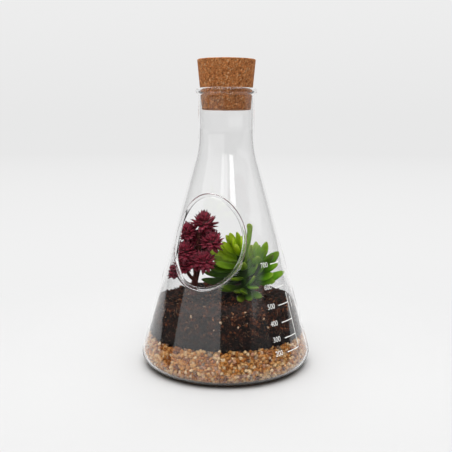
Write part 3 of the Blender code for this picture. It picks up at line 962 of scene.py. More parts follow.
def makeGravel():
    draw = np.random.default_rng(21)
    material = stoneMaterial()
    for name, inset, spacing in (
        ("gravel_front_stones", 0.0, gravel["spacing"]),
        ("gravel_back_stones", gravel["secondLayer"], gravel["spacing"] * 1.06),
    ):
        r, z, turns, outR, outZ = stoneSpots(draw, inset, spacing).T
        sizes = draw.uniform(gravel["smallest"], gravel["largest"], len(r)) * draw.uniform(0.75, 1, len(r))
        back = sizes * 0.45 + gravel["toGlass"]
        centres = ringPoints(r + outR * back, z + outZ * back, turns)
        rows = 5 if inset == 0 else 4
        shapes, faces = scatterGrains(centres, sizes, 0.72, 0.12, draw, rows, 6)
        # no stone reaches into the glass
        radius = np.hypot(shapes[..., 0], shapes[..., 1])
        height = np.maximum(shapes[..., 2], flask["floor"] + gravel["toGlass"])
        most = innerRadiusAt(height) - gravel["toGlass"]
        shapes[..., :2] *= np.minimum(1, most / radius)[..., None]
        shapes[..., 2] = height
        points, parts = manyCopies(shapes, faces)
        tone = np.repeat(draw.uniform(0, 1, len(shapes)), shapes.shape[1])
        piece = buildPiece(name, points, parts, material, {"stoneTone": tone}, radians(50))
        if inset == 0:
            place(piece, "gravel", "gravel_bed")
        else:
            place(piece, "gravel")
    makeGravelCore(material)


def makeGravelCore(material):
    # what is behind the outer stones: a closed turned bed, its face made uneven by small waves about the size of
    # stones
    draw = np.random.default_rng(22)
    line, normal = bedLine(20 * mm, gravel["top"], 0)
    line = line + normal * gravel["core"]
    rows, _ = evenPoints(line, normal, 1.0 * mm)
    rows = rows[rows[:, 0] > 22 * mm]
    top = np.linspace(rows[-1], [4 * mm, gravel["top"]], 14)[1:]
    bottom = np.linspace([4 * mm, rows[0][1]], rows[0], 6)[:-1]
    rows = np.concatenate([bottom, rows, top])
    columns = 240
    turns = np.arange(columns) * 2 * pi / columns
    points = ringPoints(rows[:, :1], rows[:, 1:], turns).reshape(-1, 3)
    points = np.concatenate([points, [[0, 0, rows[0][1]], [0, 0, gravel["top"]]]])
    # partly painted shade: the core is grit too, but its tones are held to the darker browns so that the gaps between
    # the outer stones read as shade
    tone = np.clip(0.3 + 0.2 * waveNoise(points, 3 * mm, draw), 0, 1)
    points = points * (1 + 0.006 * waveNoise(points, 3 * mm, draw))[:, None]
    faces = closedGrid(len(rows), columns)
    piece = buildPiece("gravel_middle", points, faces, material, {"stoneTone": tone})
    place(piece, "gravel")


# Soil: dark peat with bark crumbs, coir threads and a few pale roots
soil = {
    "top": 49 * mm,
    "bottom": 21 * mm,
    "toGlass": 0.25 * mm,
    "underStones": 4.5 * mm,  # how much further in it lies behind the stones
    "darkerBelow": (27 * mm, 38 * mm),  # darker towards the bottom: nearly black at the first height, its full tone from the second
    "clod": 2.9 * mm,
    "relief": 2.3 * mm,
    "sideRelief": 0.45,  # share of it that is left against the glass
    "columns": 560,
    "rowStep": 0.55 * mm,
    "crumbs": 4700,
    "threads": 1500,
    "roots": 800,
}


def soilMaterial():
    # damp peat: nearly black brown, crumbly, with redder and paler bits
    material, tree, output = newMaterial("damp peat")
    where = addNode(tree, "ShaderNodeTexCoord")
    tone = addNode(tree, "ShaderNodeAttribute", {"attribute_name": "soilTone"})
    colour = addNode(
        tree, "ShaderNodeValToRGB",
        {"stops": ((0.0, "#0c0604"), (0.3, "#231009"), (0.6, "#43210f"), (0.85, "#6b3c22"), (0.95, "#8f6040"),
                   (1.0, "#cdb594"))},
        {"Fac": tone.outputs["Fac"]},
    )
    fine = addNode(
        tree, "ShaderNodeTexNoise", {"Scale": 1 / (0.8 * mm), "Detail": 5.0, "Roughness": 0.75},
        {"Vector": where.outputs["Object"]},
    )
    clump = addNode(
        tree, "ShaderNodeTexNoise", {"Scale": 1 / (3.4 * mm), "Detail": 4.0, "Roughness": 0.6},
        {"Vector": where.outputs["Object"]},
    )
    broad = addNode(
        tree, "ShaderNodeMapRange", {"From Min": 0.4, "From Max": 0.62, "To Min": 0.25, "To Max": 1.5},
        {"Value": clump.outputs["Fac"]},
    )
    narrow = addNode(
        tree, "ShaderNodeMapRange", {"From Min": 0.35, "From Max": 0.65, "To Min": 0.3, "To Max": 1.7},
        {"Value": fine.outputs["Fac"]},
    )
    shade = addNode(
        tree, "ShaderNodeMath", {"operation": "MULTIPLY"}, {0: broad.outputs[0], 1: narrow.outputs[0]}
    )
    shaded = addNode(
        tree, "ShaderNodeVectorMath", {"operation": "SCALE"}, {0: colour.outputs[0], "Scale": shade.outputs[0]}
    )
    bump = addNode(
        tree, "ShaderNodeBump", {"Strength": 0.8, "Distance": 0.4 * mm}, {"Height": fine.outputs["Fac"]}
    )
    peat = addNode(
        tree, "ShaderNodeBsdfPrincipled", {"Roughness": 0.9, "Specular IOR Level": 0.25},
        {"Base Color": shaded.outputs[0], "Normal": bump.outputs[0]},
    )
    tree.links.new(peat.outputs[0], output.inputs["Surface"])
    return material


def threadMaterial():
    # coir and dry roots: thin reddish to straw-coloured threads
    material, tree, output = newMaterial("coir thread")
    where = addNode(tree, "ShaderNodeTexCoord")
    tone = addNode(tree, "ShaderNodeAttribute", {"attribute_name": "threadTone"})
    colour = addNode(
        tree, "ShaderNodeValToRGB",
        {"stops": ((0.0, "#3a1d12"), (0.4, "#62341f"), (0.7, "#8c5a36"), (0.88, "#b58c62"), (1.0, "#d9c3a0"))},
        {"Fac": tone.outputs["Fac"]},
    )
    along = addNode(
        tree, "ShaderNodeTexNoise", {"Scale": 1 / (1.2 * mm), "Detail": 2.0}, {"Vector": where.outputs["Object"]}
    )
    shade = addNode(
        tree, "ShaderNodeMapRange", {"From Min": 0.3, "From Max": 0.7, "To Min": 0.7, "To Max": 1.15},
        {"Value": along.outputs["Fac"]},
    )
    shaded = addNode(
        tree, "ShaderNodeVectorMath", {"operation": "SCALE"}, {0: colour.outputs[0], "Scale": shade.outputs[0]}
    )
    thread = addNode(
        tree, "ShaderNodeBsdfPrincipled", {"Roughness": 0.7}, {"Base Color": shaded.outputs[0]}
    )
    tree.links.new(thread.outputs[0], output.inputs["Surface"])
    return material


def soilLine():
    # the section of the bed: up the glass, round the rim and over the top to the axis
    heights = np.arange(soil["bottom"], soil["top"] - 1 * mm, soil["rowStep"])
    under = soil["underStones"] * (1 - smoothStep(heights, gravel["top"] - 1.5 * mm, gravel["top"] + 1 * mm))
    side = np.stack([innerRadiusAt(heights) - soil["toGlass"] - under, heights], 1)
    rim = innerRadiusAt(soil["top"]) - soil["toGlass"]
    edge = arcLine((rim - 1.2 * mm, soil["top"] - 1.2 * mm), 1.2 * mm, 0, pi / 2, 4)[1:]
    radii = np.arange(edge[-1][0] - 0.7 * mm, 2 * mm, -0.95 * mm)
    over = np.stack([radii, np.full(len(radii), soil["top"])], 1)
    return np.concatenate([side, edge, over]), len(side)


def makeSoil():
    # a turned bed sunk in by lumps: rounded cells of about the clods' size, and broader waves
    draw = np.random.default_rng(31)
    line, sideRows = soilLine()
    turns = np.arange(soil["columns"]) * 2 * pi / soil["columns"]
    points = ringPoints(line[:, :1], line[:, 1:], turns)
    flat = points.reshape(-1, 3)
    count = 3600
    row = draw.choice(len(line), count, p=line[:, 0] / line[:, 0].sum())
    centres = ringPoints(line[row, 0], line[row, 1], draw.uniform(0, 2 * pi, count))
    first, _, which = nearestCells(flat, centres)
    lump = 1 - np.clip(first / (0.62 * soil["clod"]), 0, 1) ** 2
    depth = soil["relief"] * (0.55 * (1 - lump) + 0.25 * draw.uniform(0, 1, count)[which])
    depth += soil["relief"] * 0.3 * np.clip(0.5 + 0.5 * waveNoise(flat, 9 * mm, draw), 0, 1.5)
    onTop = (np.arange(len(line)) >= sideRows + 2).astype(float)
    onTop = np.repeat(onTop, soil["columns"])
    wall = unit(flat * [1, 1, 0])
    hill = 0.9 * mm * waveNoise(flat, 22 * mm, draw) * onTop
    moved = flat - wall * (soil["sideRelief"] * depth * (1 - onTop))[:, None]
    moved[:, 2] += hill + (0.9 * soil["relief"] - 1.2 * depth) * onTop
    bottom = soil["bottom"]
    points = np.concatenate([moved, [[0, 0, bottom], [0, 0, soil["top"]]]])
    # painted shade: each clod's tone falls towards its edge, where the face is sunk in between clods
    tone = draw.uniform(0, 0.75, count)[which] * (0.4 + 0.6 * lump)
    # darker towards the bottom
    tone *= 0.15 + 0.85 * smoothStep(flat[:, 2], *soil["darkerBelow"])
    tone = np.concatenate([tone, [0, 0]])
    piece = buildPiece(
        "soil_clods", points, closedGrid(len(line), soil["columns"]), soilMaterial(), {"soilTone": tone}
    )
    place(piece, "soil", "soil_bed")
    makeCrumbs(piece.data.materials[0])
    makeThreads()


def soilSpots(count, share, draw):
    # places against the glass, a share of them, and else on the top: points and the way out of the soil
    side = round(count * share)
    heights = draw.uniform(gravel["top"] + 0.5 * mm, soil["top"] + 0.6 * mm, side)
    turns = draw.uniform(0, 2 * pi, count)
    inset = draw.uniform(0.2, 1.3, side) * mm
    wall = ringPoints(innerRadiusAt(heights) - soil["toGlass"] - inset, heights, turns[:side])
    radius = (innerRadiusAt(soil["top"]) - 1 * mm) * np.sqrt(draw.uniform(0.0, 1, count - side))
    top = ringPoints(radius, soil["top"] + draw.uniform(-0.2, 1.0, count - side) * mm, turns[side:])
    return np.concatenate([wall, top]), side


def keepInside(shapes, clearance):
    # draws points in where they would reach the glass
    radius = np.maximum(np.hypot(shapes[..., 0], shapes[..., 1]), 1e-9)
    most = innerRadiusAt(shapes[..., 2]) - clearance
    shapes[..., :2] *= np.minimum(1, most / radius)[..., None]
    return shapes


def makeCrumbs(material):
    draw = np.random.default_rng(32)
    centres, _ = soilSpots(soil["crumbs"], 0.62, draw)
    sizes = draw.uniform(0.8, 3.4, len(centres)) * draw.uniform(0.4, 1, len(centres)) * mm
    shapes, faces = scatterGrains(centres, sizes, 0.5, 0.3, draw, 3, 5)
    points, parts = manyCopies(keepInside(shapes, 0.2 * mm), faces)
    tone = draw.uniform(0.1, 1, len(shapes)) ** 1.4
    # darker towards the bottom
    tone *= 0.3 + 0.7 * smoothStep(centres[:, 2], *soil["darkerBelow"])
    tone = np.repeat(tone, shapes.shape[1])
    piece = buildPiece("soil_crumbs", points, parts, material, {"soilTone": tone}, radians(40))
    place(piece, "soil")


def makeThreads():
    # thin tubes of three sides along arcs that lie close to the face of the soil
    draw = np.random.default_rng(33)
    steps, sides = 6, 3
    counts = (soil["threads"], soil["roots"])
    total = sum(counts)
    centres, side = soilSpots(total, 0.75, draw)
    order = draw.permutation(total)
    centres, onSide = centres[order], (np.arange(total) < side)[order]
    length = np.concatenate([draw.uniform(1, 3.2, counts[0]), draw.uniform(2, 7, counts[1])]) * mm
    thick = np.concatenate([draw.uniform(0.12, 0.3, counts[0]), draw.uniform(0.08, 0.16, counts[1])]) * mm
    out = np.where(onSide[:, None], unit(centres * [1, 1, 0]), [0, 0, 1.0])
    along = draw.normal(size=(total, 3))
    along = unit(along - out * (along * out).sum(1, keepdims=True) * 0.9)
    aside = np.cross(out, along)
    bend = draw.uniform(-1, 1, total)[:, None, None]
    t = np.linspace(-0.5, 0.5, steps)[None, :, None]
    run = length[:, None, None]
    line = centres[:, None] + along[:, None] * t * run + aside[:, None] * bend * run * (t * t - 0.1) * 1.6
    line += out[:, None] * run * 0.08 * np.cos(7 * t + bend * 5)
    line += aside[:, None] * run * 0.05 * np.sin(9 * t + bend * 9)
    angle = np.arange(sides) * 2 * pi / sides
    taper = thick[:, None, None, None] / 2 * (1 - 0.5 * np.abs(2 * t)[..., None])
    ring = out[:, None, None] * np.cos(angle)[None, None, :, None] + aside[:, None, None] * np.sin(angle)[None, None, :, None]
    tubes = (line[:, :, None] + ring * taper).reshape(total, -1, 3)
    tubes = np.concatenate([tubes, line[:, :1], line[:, -1:]], 1)
    points, parts = manyCopies(keepInside(tubes, 0.15 * mm), closedGrid(steps, sides))
    tone = np.concatenate([draw.uniform(0, 0.75, counts[0]), draw.uniform(0.6, 1, counts[1])])
    piece = buildPiece(
        "soil_threads", points, parts, threadMaterial(), {"threadTone": np.repeat(tone, tubes.shape[1])}
    )
    place(piece, "soil")


# Plants. Their points are in millimetres in a frame turned to the camera:
# x to the right, y to the back, z above the table
plants = {
    "turn": radians(22),
    "stemEnd": 33.3,
    "leafToGlass": 1.2,
    "stemSides": 16,
}
burgundy = {
    "stem": ((-25.5, 8, 33.3), (-25.5, 8, 52), (-24.3, 6, 62), (-21.2, 3, 78), (-21.5, 1, 95), (-18.5, -1, 107)),
    "stemRadii": (2.6, 2.6, 2.5, 2.2, 2.0, 1.8),
    "branchRadii": (1.5, 1.4, 1.3),
    # each head: the height where its branch leaves the stem, its middle, and its leaves' length
    "heads": (
        (101, (-16.6, -1, 108), 11.0),
        (89, (-29.0, 1, 101), 9.5),
        (82, (-10.6, -7, 95), 9.8),
        (70, (-30.5, -5, 87), 9.8),
        (72, (-16.2, -12, 81), 9.8),
        (62, (-32.5, -3, 76), 8.5),
        (57, (-40.0, 3, 69.5), 7.0),
        (76, (-22.0, 11, 88), 8.5),
    ),
    # heads that fill the middle of the plant, on branches of their own
    "innerHeads": (
        (84, (-24.5, 4, 95), 7.5),
        (92, (-17.5, 3, 98.5), 6.5),
        (66, (-24.5, -7, 79), 7.5),
    ),
    "core": 0.4,  # share of the leaves' length
    "spread": radians(125),
    "leavesPerMm": 5.0,
    "reach": 1.1,  # of a leaf's tip, in leaf lengths
    "leafWidth": 5.0,
    "leafThickness": 2.0,
    "sag": 0.1,
}
green = {
    "stem": ((15.5, 2, 33.3), (15.5, 2, 52), (15.2, 2, 60), (12.5, 2, 75), (9.5, 3, 87)),
    "stemRadii": (3.6, 3.6, 3.4, 3.0, 2.2),
    "branch": ((15.3, 2, 56), (20, 1, 67), (25, 0, 77)),
    "branchRadii": (2.8, 2.8, 2.2),
    # each leaf: the height of its root on the stem, its tip, its width, and how many degrees
    # its flat side turns from upwards towards the front
    "stemLeaves": (
        (84, (3, 2, 101), 6.5, 75),
        (85, (8.5, 6, 101), 6.5, 75),
        (83, (-3, 0, 94), 6.5, 60),
        (85, (14, 9, 98), 6.0, 40),
        (83, (8, -8, 94), 6.0, 20),
        (79, (-14.5, 5, 86.5), 7.5, 45),
        (74, (-9.6, -6, 79.5), 7.5, 35),
        (69, (-17, 4, 69), 7.5, 45),
        (63, (-19, -5, 65.5), 7.5, 40),
        (60, (-5.5, -14, 60), 7.0, 20),
        (58, (6.7, -14, 58), 6.5, 10),
        (72, (13, -17, 82), 7.5, 0),
        (66, (2, -15, 70), 7.5, 10),
        (80, (4, 22, 92), 7.0, 0),
        (70, (-4, 20, 76), 7.0, 0),
        (62, (10, 26, 66), 7.0, 0),
        (81, (-9, 8, 91), 6.5, 60),
        (76, (-12, 1, 82), 7.0, 55),
        (72, (-14, -2, 75), 7.5, 50),
        (66, (-14, 9, 73), 7.5, 45),
        (84, (5.5, -3, 98), 6.0, 70),
        (84, (11.5, 1, 97.5), 6.0, 65),
        (84, (0, 6, 98.5), 6.0, 75),
        (76, (20, -6, 93), 7.0, 70),
        (66, (24, -11, 80), 8.0, 60),
        (60, (21, -13, 70), 8.0, 45),
        (80, (14, 12, 93), 7.0, 60),
        (74, (20, 10, 87), 7.5, 50),
        (68, (20, 16, 80), 8.0, 20),
        (57, (-4, -14, 63), 7.0, 45),
        (57, (14, -16, 58), 7.0, 30),
        (56, (19, -16, 52), 7.5, 30),
        (57, (27, -15, 54), 7.5, 30),
        (55, (10, -18, 51.5), 7.0, 30),
    ),
    # one narrow leaf that stands up, greyer than the others and round at its end
    "tallLeaf": (74, (18.3, 0, 108.6), 5.0, 85),
    "tallFull": 0.93,  # how far along it starts to close
    "tallTone": 1.15,
    "tallYellow": 0.35,
    "branchLeaves": (
        (75, (24, 14, 92), 7.0, 0),
        (76, (32, 5, 93.5), 6.5, 30),
        (75, (34.5, -16, 87.5), 9.5, 0),
        (73, (24, -14, 86), 8.0, 0),
        (70, (39.5, -10, 79), 7.5, 45),
        (59, (46.2, -2, 71.5), 8.5, 50),
        (62, (23, -18, 62), 8.5, 0),
        (72, (37, 9, 84), 7.5, 0),
        (68, (29, 22, 76), 7.5, 0),
        (76, (26.4, 4, 91), 7.0, 70),
        (74, (18.4, -6, 93), 6.5, 70),
        (73, (30, -7, 89), 8.0, 60),
        (70, (41.5, 0, 86.5), 9.0, 60),
        (66, (36, -11, 71), 8.0, 55),
        (64, (38, -5, 64), 7.5, 50),
        (66, (29, -13, 81), 8.0, 60),
    ),
    "leafThickness": 3.8,
    "full": 0.52,  # how far along a leaf starts to close
    "arch": -0.07,
}


def fromPlantFrame(points):
    # millimetres in the plants' frame to metres in the flask's
    points = np.asarray(points, float) * mm
    c, s = np.cos(plants["turn"]), np.sin(plants["turn"])
    x, y, z = np.moveaxis(points, -1, 0)
    return np.stack([x * c - y * s, x * s + y * c, z], -1)


def clearOfGlass(point, room):
    # a point in millimetres, drawn towards the flask's axis where it would reach the glass
    point = np.array(point, float)
    most = innerRadiusAt(point[2] * mm) / mm - room
    reach = np.hypot(point[0], point[1])
    point[:2] *= min(1, most / reach)
    return point


def atHeight(path, height):
    path = np.array(path, float)
    return np.array([np.interp(height, path[:, 2], path[:, axis]) for axis in range(3)])


def smoothPath(path, radii, steps):
    # a curve through the path's points (a cubic with the points' own slopes), and radii along it
    path, radii = np.array(path, float), np.array(radii, float)
    at = np.arange(len(path))
    slopes = np.gradient(path, axis=0)
    t = np.linspace(0, len(path) - 1, steps)
    k = np.minimum(t.astype(int), len(path) - 2)
    u = (t - k)[:, None]
    a, b, sa, sb = path[k], path[k + 1], slopes[k], slopes[k + 1]
    curve = a * (2 * u**3 - 3 * u**2 + 1) + sa * (u**3 - 2 * u**2 + u) + b * (3 * u**2 - 2 * u**3) + sb * (u**3 - u**2)
    return curve, np.interp(t, at, radii)


def stemShape(path, radii, draw, steps=26):
    # a round section carried along the curve, a little knobbly
    curve, radii = smoothPath(path, radii, steps)
    sides = plants["stemSides"]
    along = unit(np.gradient(curve, axis=0))
    right = unit(np.cross([0, 1.0, 0], along))
    back = np.cross(along, right)
    turns = np.arange(sides) * 2 * pi / sides
    ring = right[:, None] * np.cos(turns)[:, None] + back[:, None] * np.sin(turns)[:, None]
    rough = 1 + 0.05 * waveNoise((curve[:, None] + ring).reshape(-1, 3), 3.0, draw).reshape(steps, sides)
    points = curve[:, None] + ring * (radii[:, None] * rough)[..., None]
    return np.concatenate([points.reshape(-1, 3), curve[:1], curve[-1:]]), closedGrid(steps, sides)


def leafFrame(root, tip, roll):
    # the leaf's own directions: along, across and up, its flat side up and then rolled to the front
    along = tip - root
    across = np.cross(along, [0, 0, 1.0])
    if np.linalg.norm(across) < 0.1 * np.linalg.norm(along):
        across = np.array([0, -1.0, 0])
    across = unit(-across if across[1] > 0 else across)
    up = unit(np.cross(across, along))
    up = -up if up[2] < 0 else up
    turned = across * np.cos(roll) - up * np.sin(roll)
    return along, turned, up * np.cos(roll) + across * np.sin(roll)


def spoonLeaf(root, tip, width, roll, full, draw):
    # a thick spoon: its section, flat above and round below, is carried along an arched middle line;
    # the width grows from the foot to two thirds and closes in a blunt round tip
    rows, sides = 22, 18
    along, across, up = leafFrame(root, tip, roll)
    reach = np.linalg.norm(along)
    s = np.sin(np.linspace(0.02, 0.995, rows) * pi / 2)[:, None]
    swell = 0.55 + 0.45 * smoothStep(s, 0.05, 0.62)
    close = np.clip(1 - (np.clip(s - full, 0, 1) / (1 - full)) ** 2.1, 0, 1) ** 0.62
    wide = width / 2 * swell * close
    thick = green["leafThickness"] / 2 * (0.72 + 0.28 * smoothStep(s, 0.1, 0.6)) * close**0.8
    turns = (np.arange(sides) + 0.5) * 2 * pi / sides
    side, over = np.cos(turns), np.sin(turns)
    over = np.where(over > 0, 0.62 * over * (1 - 0.35 * (1 - side**2) ** 2), over)
    middle = root + along * s + up * (green["arch"] * reach * 4 * s * (1 - s))
    wobble = 1 + 0.03 * draw.normal()
    points = middle[:, None] + across * (wide * side * wobble)[..., None] + up * (thick * over)[..., None]
    points = np.concatenate([points.reshape(-1, 3), [root], [tip]])
    shares = np.concatenate([np.repeat(s[:, 0], sides), [0, 1]])
    edge = np.concatenate([np.tile(np.abs(side), rows), [0, 1]])
    return points, closedGrid(rows, sides), shares, edge


def spikeLeaf(root, tip, width, thickness, draw):
    # a pointed leaf: a lens-shaped section with a keel below, widest two thirds along, then a sharp tip
    rows, sides = 9, 8
    along, across, up = leafFrame(root, tip, 0)
    s = np.linspace(0.0, 0.97, rows)[:, None]
    shape = (0.45 + 0.55 * smoothStep(s, 0, 0.55)) * (1 - np.clip((s - 0.55) / 0.45, 0, 1) ** 1.25)
    turns = np.arange(sides) * 2 * pi / sides
    side, over = np.cos(turns), np.sin(turns)
    side = np.sign(side) * np.abs(side) ** 0.9
    over = np.where(over > 0, 0.55 * over, over)
    reach = np.linalg.norm(along)
    curl = up * (0.10 * reach * draw.uniform(0.3, 1.2)) * s**2
    middle = root + along * s + curl
    points = middle[:, None] + across * (width / 2 * shape * side)[..., None] + up * (
        thickness / 2 * shape * over)[..., None]
    points = np.concatenate([points.reshape(-1, 3), [root], [tip + curl[-1]]])
    shares = np.concatenate([np.repeat(s[:, 0], sides), [0, 1]])
    # where the painted highlight goes: along the middle of the leaf above and below
    ridgeHighlight = np.concatenate([np.tile(1 - np.abs(np.cos(turns)), rows), [0, 0]])
    return points, closedGrid(rows, sides), shares, ridgeHighlight


def joinShapes(shapes):
    # several closed shapes, each with its values, as one set of points, faces and values
    points, faces, count = [], [], 0
    for shape in shapes:
        points.append(shape[0])
        faces += [part + count for part in shape[1]]
        count += len(shape[0])
    return np.concatenate(points), faces


def facingOut(piece):
    # turns each loose part's faces outwards
    work = bmesh.new()
    work.from_mesh(piece.data)
    bmesh.ops.recalc_face_normals(work, faces=work.faces)
    work.to_mesh(piece.data)
    work.free()


def burgundyMaterial():
    # moulded soft plastic, dyed wine red: matt, with a painted highlight along the ridges, nearly black at the tips
    material, tree, output = newMaterial("wine red soft plastic")
    where = addNode(tree, "ShaderNodeTexCoord")
    along = addNode(tree, "ShaderNodeAttribute", {"attribute_name": "leafAlong"})
    ridgeHighlight = addNode(tree, "ShaderNodeAttribute", {"attribute_name": "leafRidge"})
    tone = addNode(tree, "ShaderNodeAttribute", {"attribute_name": "leafTone"})
    colour = addNode(
        tree, "ShaderNodeValToRGB",
        {"stops": ((0.0, "#481216"), (0.4, "#78202e"), (0.68, "#8c263a"), (0.84, "#56121f"), (0.95, "#22060c"))},
        {"Fac": along.outputs["Fac"]},
    )
    # painted highlight: the ridges are mixed towards a light wine red
    light = addNode(
        tree, "ShaderNodeMix", {"data_type": "RGBA", "B": linear("#8a3a4c")},
        {"Factor": ridgeHighlight.outputs["Fac"], "A": colour.outputs[0]},
    )
    fine = addNode(
        tree, "ShaderNodeTexNoise", {"Scale": 1 / (1.1 * mm), "Detail": 4.0}, {"Vector": where.outputs["Object"]}
    )
    shade = addNode(
        tree, "ShaderNodeMapRange", {"From Min": 0.3, "From Max": 0.7, "To Min": 0.75, "To Max": 1.15},
        {"Value": fine.outputs["Fac"]},
    )
    both = addNode(tree, "ShaderNodeMath", {"operation": "MULTIPLY"}, {0: shade.outputs[0], 1: tone.outputs["Fac"]})
    shaded = addNode(
        tree, "ShaderNodeVectorMath", {"operation": "SCALE"}, {0: light.outputs["Result"], "Scale": both.outputs[0]}
    )
    bump = addNode(
        tree, "ShaderNodeBump", {"Strength": 0.3, "Distance": 0.1 * mm}, {"Height": fine.outputs["Fac"]}
    )
    leaf = addNode(
        tree, "ShaderNodeBsdfPrincipled", {"Roughness": 0.6, "Specular IOR Level": 0.35},
        {"Base Color": shaded.outputs[0], "Normal": bump.outputs[0]},
    )
    tree.links.new(leaf.outputs[0], output.inputs["Surface"])
    return material


def burgundyStemMaterial():
    # the same plastic, browner, with lengthwise streaks
    material, tree, output = newMaterial("red-brown soft plastic")
    where = addNode(tree, "ShaderNodeTexCoord")
    stretched = addNode(
        tree, "ShaderNodeMapping", {"Scale": (1.0, 1.0, 0.25)}, {"Vector": where.outputs["Object"]}
    )
    streak = addNode(
        tree, "ShaderNodeTexNoise", {"Scale": 1 / (1.0 * mm), "Detail": 3.0}, {"Vector": stretched.outputs[0]}
    )
    colour = addNode(
        tree, "ShaderNodeValToRGB", {"stops": ((0.3, "#3d1c1a"), (0.5, "#5f302a"), (0.7, "#7a4438"))},
        {"Fac": streak.outputs["Fac"]},
    )
    bump = addNode(
        tree, "ShaderNodeBump", {"Strength": 0.5, "Distance": 0.15 * mm}, {"Height": streak.outputs["Fac"]}
    )
    stem = addNode(
        tree, "ShaderNodeBsdfPrincipled", {"Roughness": 0.6, "Specular IOR Level": 0.35},
        {"Base Color": colour.outputs[0], "Normal": bump.outputs[0]},
    )
    tree.links.new(stem.outputs[0], output.inputs["Surface"])
    return material


def headLeaves(middle, direction, length, draw):
    # pointed leaves round the head's middle, their directions set by the golden angle
    right = unit(np.cross(direction, [0.31, 0.95, 0.05]))
    back = np.cross(direction, right)
    count = round(burgundy["leavesPerMm"] * length)
    shapes = []
    for k in range(count):
        fall = burgundy["spread"] * ((k + 0.5) / count) ** 0.62 + 0.1 * draw.normal()
        turn = k * pi * (3 - 5**0.5) + 0.2 * draw.normal()
        way = direction * np.cos(fall) + (right * np.cos(turn) + back * np.sin(turn)) * np.sin(fall)
        reach = length * burgundy["reach"] * draw.uniform(0.84, 1.05)
        tip = clearOfGlass(middle + way * reach, plants["leafToGlass"])
        root = middle + way * burgundy["core"] * length / 2
        width = burgundy["leafWidth"] * draw.uniform(0.7, 1.1)
        shapes.append(spikeLeaf(root, tip, width, burgundy["leafThickness"], draw))
    return shapes


def makeBurgundy():
    draw = np.random.default_rng(41)
    stems = [stemShape(burgundy["stem"], burgundy["stemRadii"], draw, 44)]
    shapes, tones = [], []
    for height, middle, length in burgundy["heads"] + burgundy["innerHeads"]:
        start, end = atHeight(burgundy["stem"], height), np.array(middle, float)
        elbow = (start + end) / 2 - [0, 0, burgundy["sag"] * np.linalg.norm(end - start)]
        stems.append(stemShape((start, elbow, end), burgundy["branchRadii"], draw, 16))
        direction = unit(unit(end - elbow) + [0, 0, 0.5])
        leaves = headLeaves(end, direction, length, draw)
        sphere, faces = grain(8, 12)
        leaves.append((end + sphere * 1.1 * burgundy["core"] * length, faces,
                       np.zeros(len(sphere)), np.zeros(len(sphere))))
        shapes += leaves
        tones += [np.full(len(leaf[0]), draw.uniform(0.8, 1.2)) for leaf in leaves]
    points, faces = joinShapes(shapes)
    values = {
        "leafAlong": np.concatenate([shape[2] for shape in shapes]),
        "leafRidge": 0.55 * np.concatenate([shape[3] for shape in shapes]),
        "leafTone": np.concatenate(tones),
    }
    leaves = buildPiece("burgundy_leaves", fromPlantFrame(points), faces, burgundyMaterial(), values)
    facingOut(leaves)
    place(leaves, "burgundy_leaf", "burgundy_succulent")
    points, faces = joinShapes(stems)
    stalks = buildPiece("burgundy_stems", fromPlantFrame(points), faces, burgundyStemMaterial())
    facingOut(stalks)
    place(stalks, "burgundy_leaf")


def greenMaterial():
    # moulded soft plastic, dyed two greens: yellower and paler towards the tips, smooth with a soft shine; painted
    # shade and light make the low leaves darker and the high ones brighter, and part of the yellow green is painted
    # light
    material, tree, output = newMaterial("leaf green soft plastic")
    where = addNode(tree, "ShaderNodeTexCoord")
    along = addNode(tree, "ShaderNodeAttribute", {"attribute_name": "leafAlong"})
    # leafTone holds painted shade and light as well as a random tone
    tone = addNode(tree, "ShaderNodeAttribute", {"attribute_name": "leafTone"})
    # partly the leaves' own lime green, partly painted light: this share mixes in the brighter yellow-green ramp
    yellow = addNode(tree, "ShaderNodeAttribute", {"attribute_name": "leafYellow"})
    deep = addNode(
        tree, "ShaderNodeValToRGB",
        {"stops": ((0.0, "#1c3404"), (0.35, "#345c03"), (0.75, "#4c7a06"), (0.94, "#6a8c20"), (1.0, "#7c8c3a"))},
        {"Fac": along.outputs["Fac"]},
    )
    bright = addNode(
        tree, "ShaderNodeValToRGB",
        {"stops": ((0.0, "#56780a"), (0.4, "#7b9c0c"), (0.8, "#93ae18"), (1.0, "#a2b43c"))},
        {"Fac": along.outputs["Fac"]},
    )
    colour = addNode(
        tree, "ShaderNodeMix", {"data_type": "RGBA"},
        {"Factor": yellow.outputs["Fac"], "A": deep.outputs[0], "B": bright.outputs[0]},
    )
    cloud = addNode(
        tree, "ShaderNodeTexNoise", {"Scale": 1 / (5 * mm), "Detail": 3.0}, {"Vector": where.outputs["Object"]}
    )
    shade = addNode(
        tree, "ShaderNodeMapRange", {"From Min": 0.3, "From Max": 0.7, "To Min": 0.82, "To Max": 1.14},
        {"Value": cloud.outputs["Fac"]},
    )
    both = addNode(tree, "ShaderNodeMath", {"operation": "MULTIPLY"}, {0: shade.outputs[0], 1: tone.outputs["Fac"]})
    shaded = addNode(
        tree, "ShaderNodeVectorMath", {"operation": "SCALE"},
        {0: colour.outputs["Result"], "Scale": both.outputs[0]},
    )
    fine = addNode(
        tree, "ShaderNodeTexNoise", {"Scale": 1 / (0.7 * mm), "Detail": 3.0}, {"Vector": where.outputs["Object"]}
    )
    bump = addNode(
        tree, "ShaderNodeBump", {"Strength": 0.15, "Distance": 0.08 * mm}, {"Height": fine.outputs["Fac"]}
    )
    leaf = addNode(
        tree, "ShaderNodeBsdfPrincipled", {"Roughness": 0.5, "Specular IOR Level": 0.22},
        {"Base Color": shaded.outputs[0], "Normal": bump.outputs[0]},
    )
    tree.links.new(leaf.outputs[0], output.inputs["Surface"])
    return material


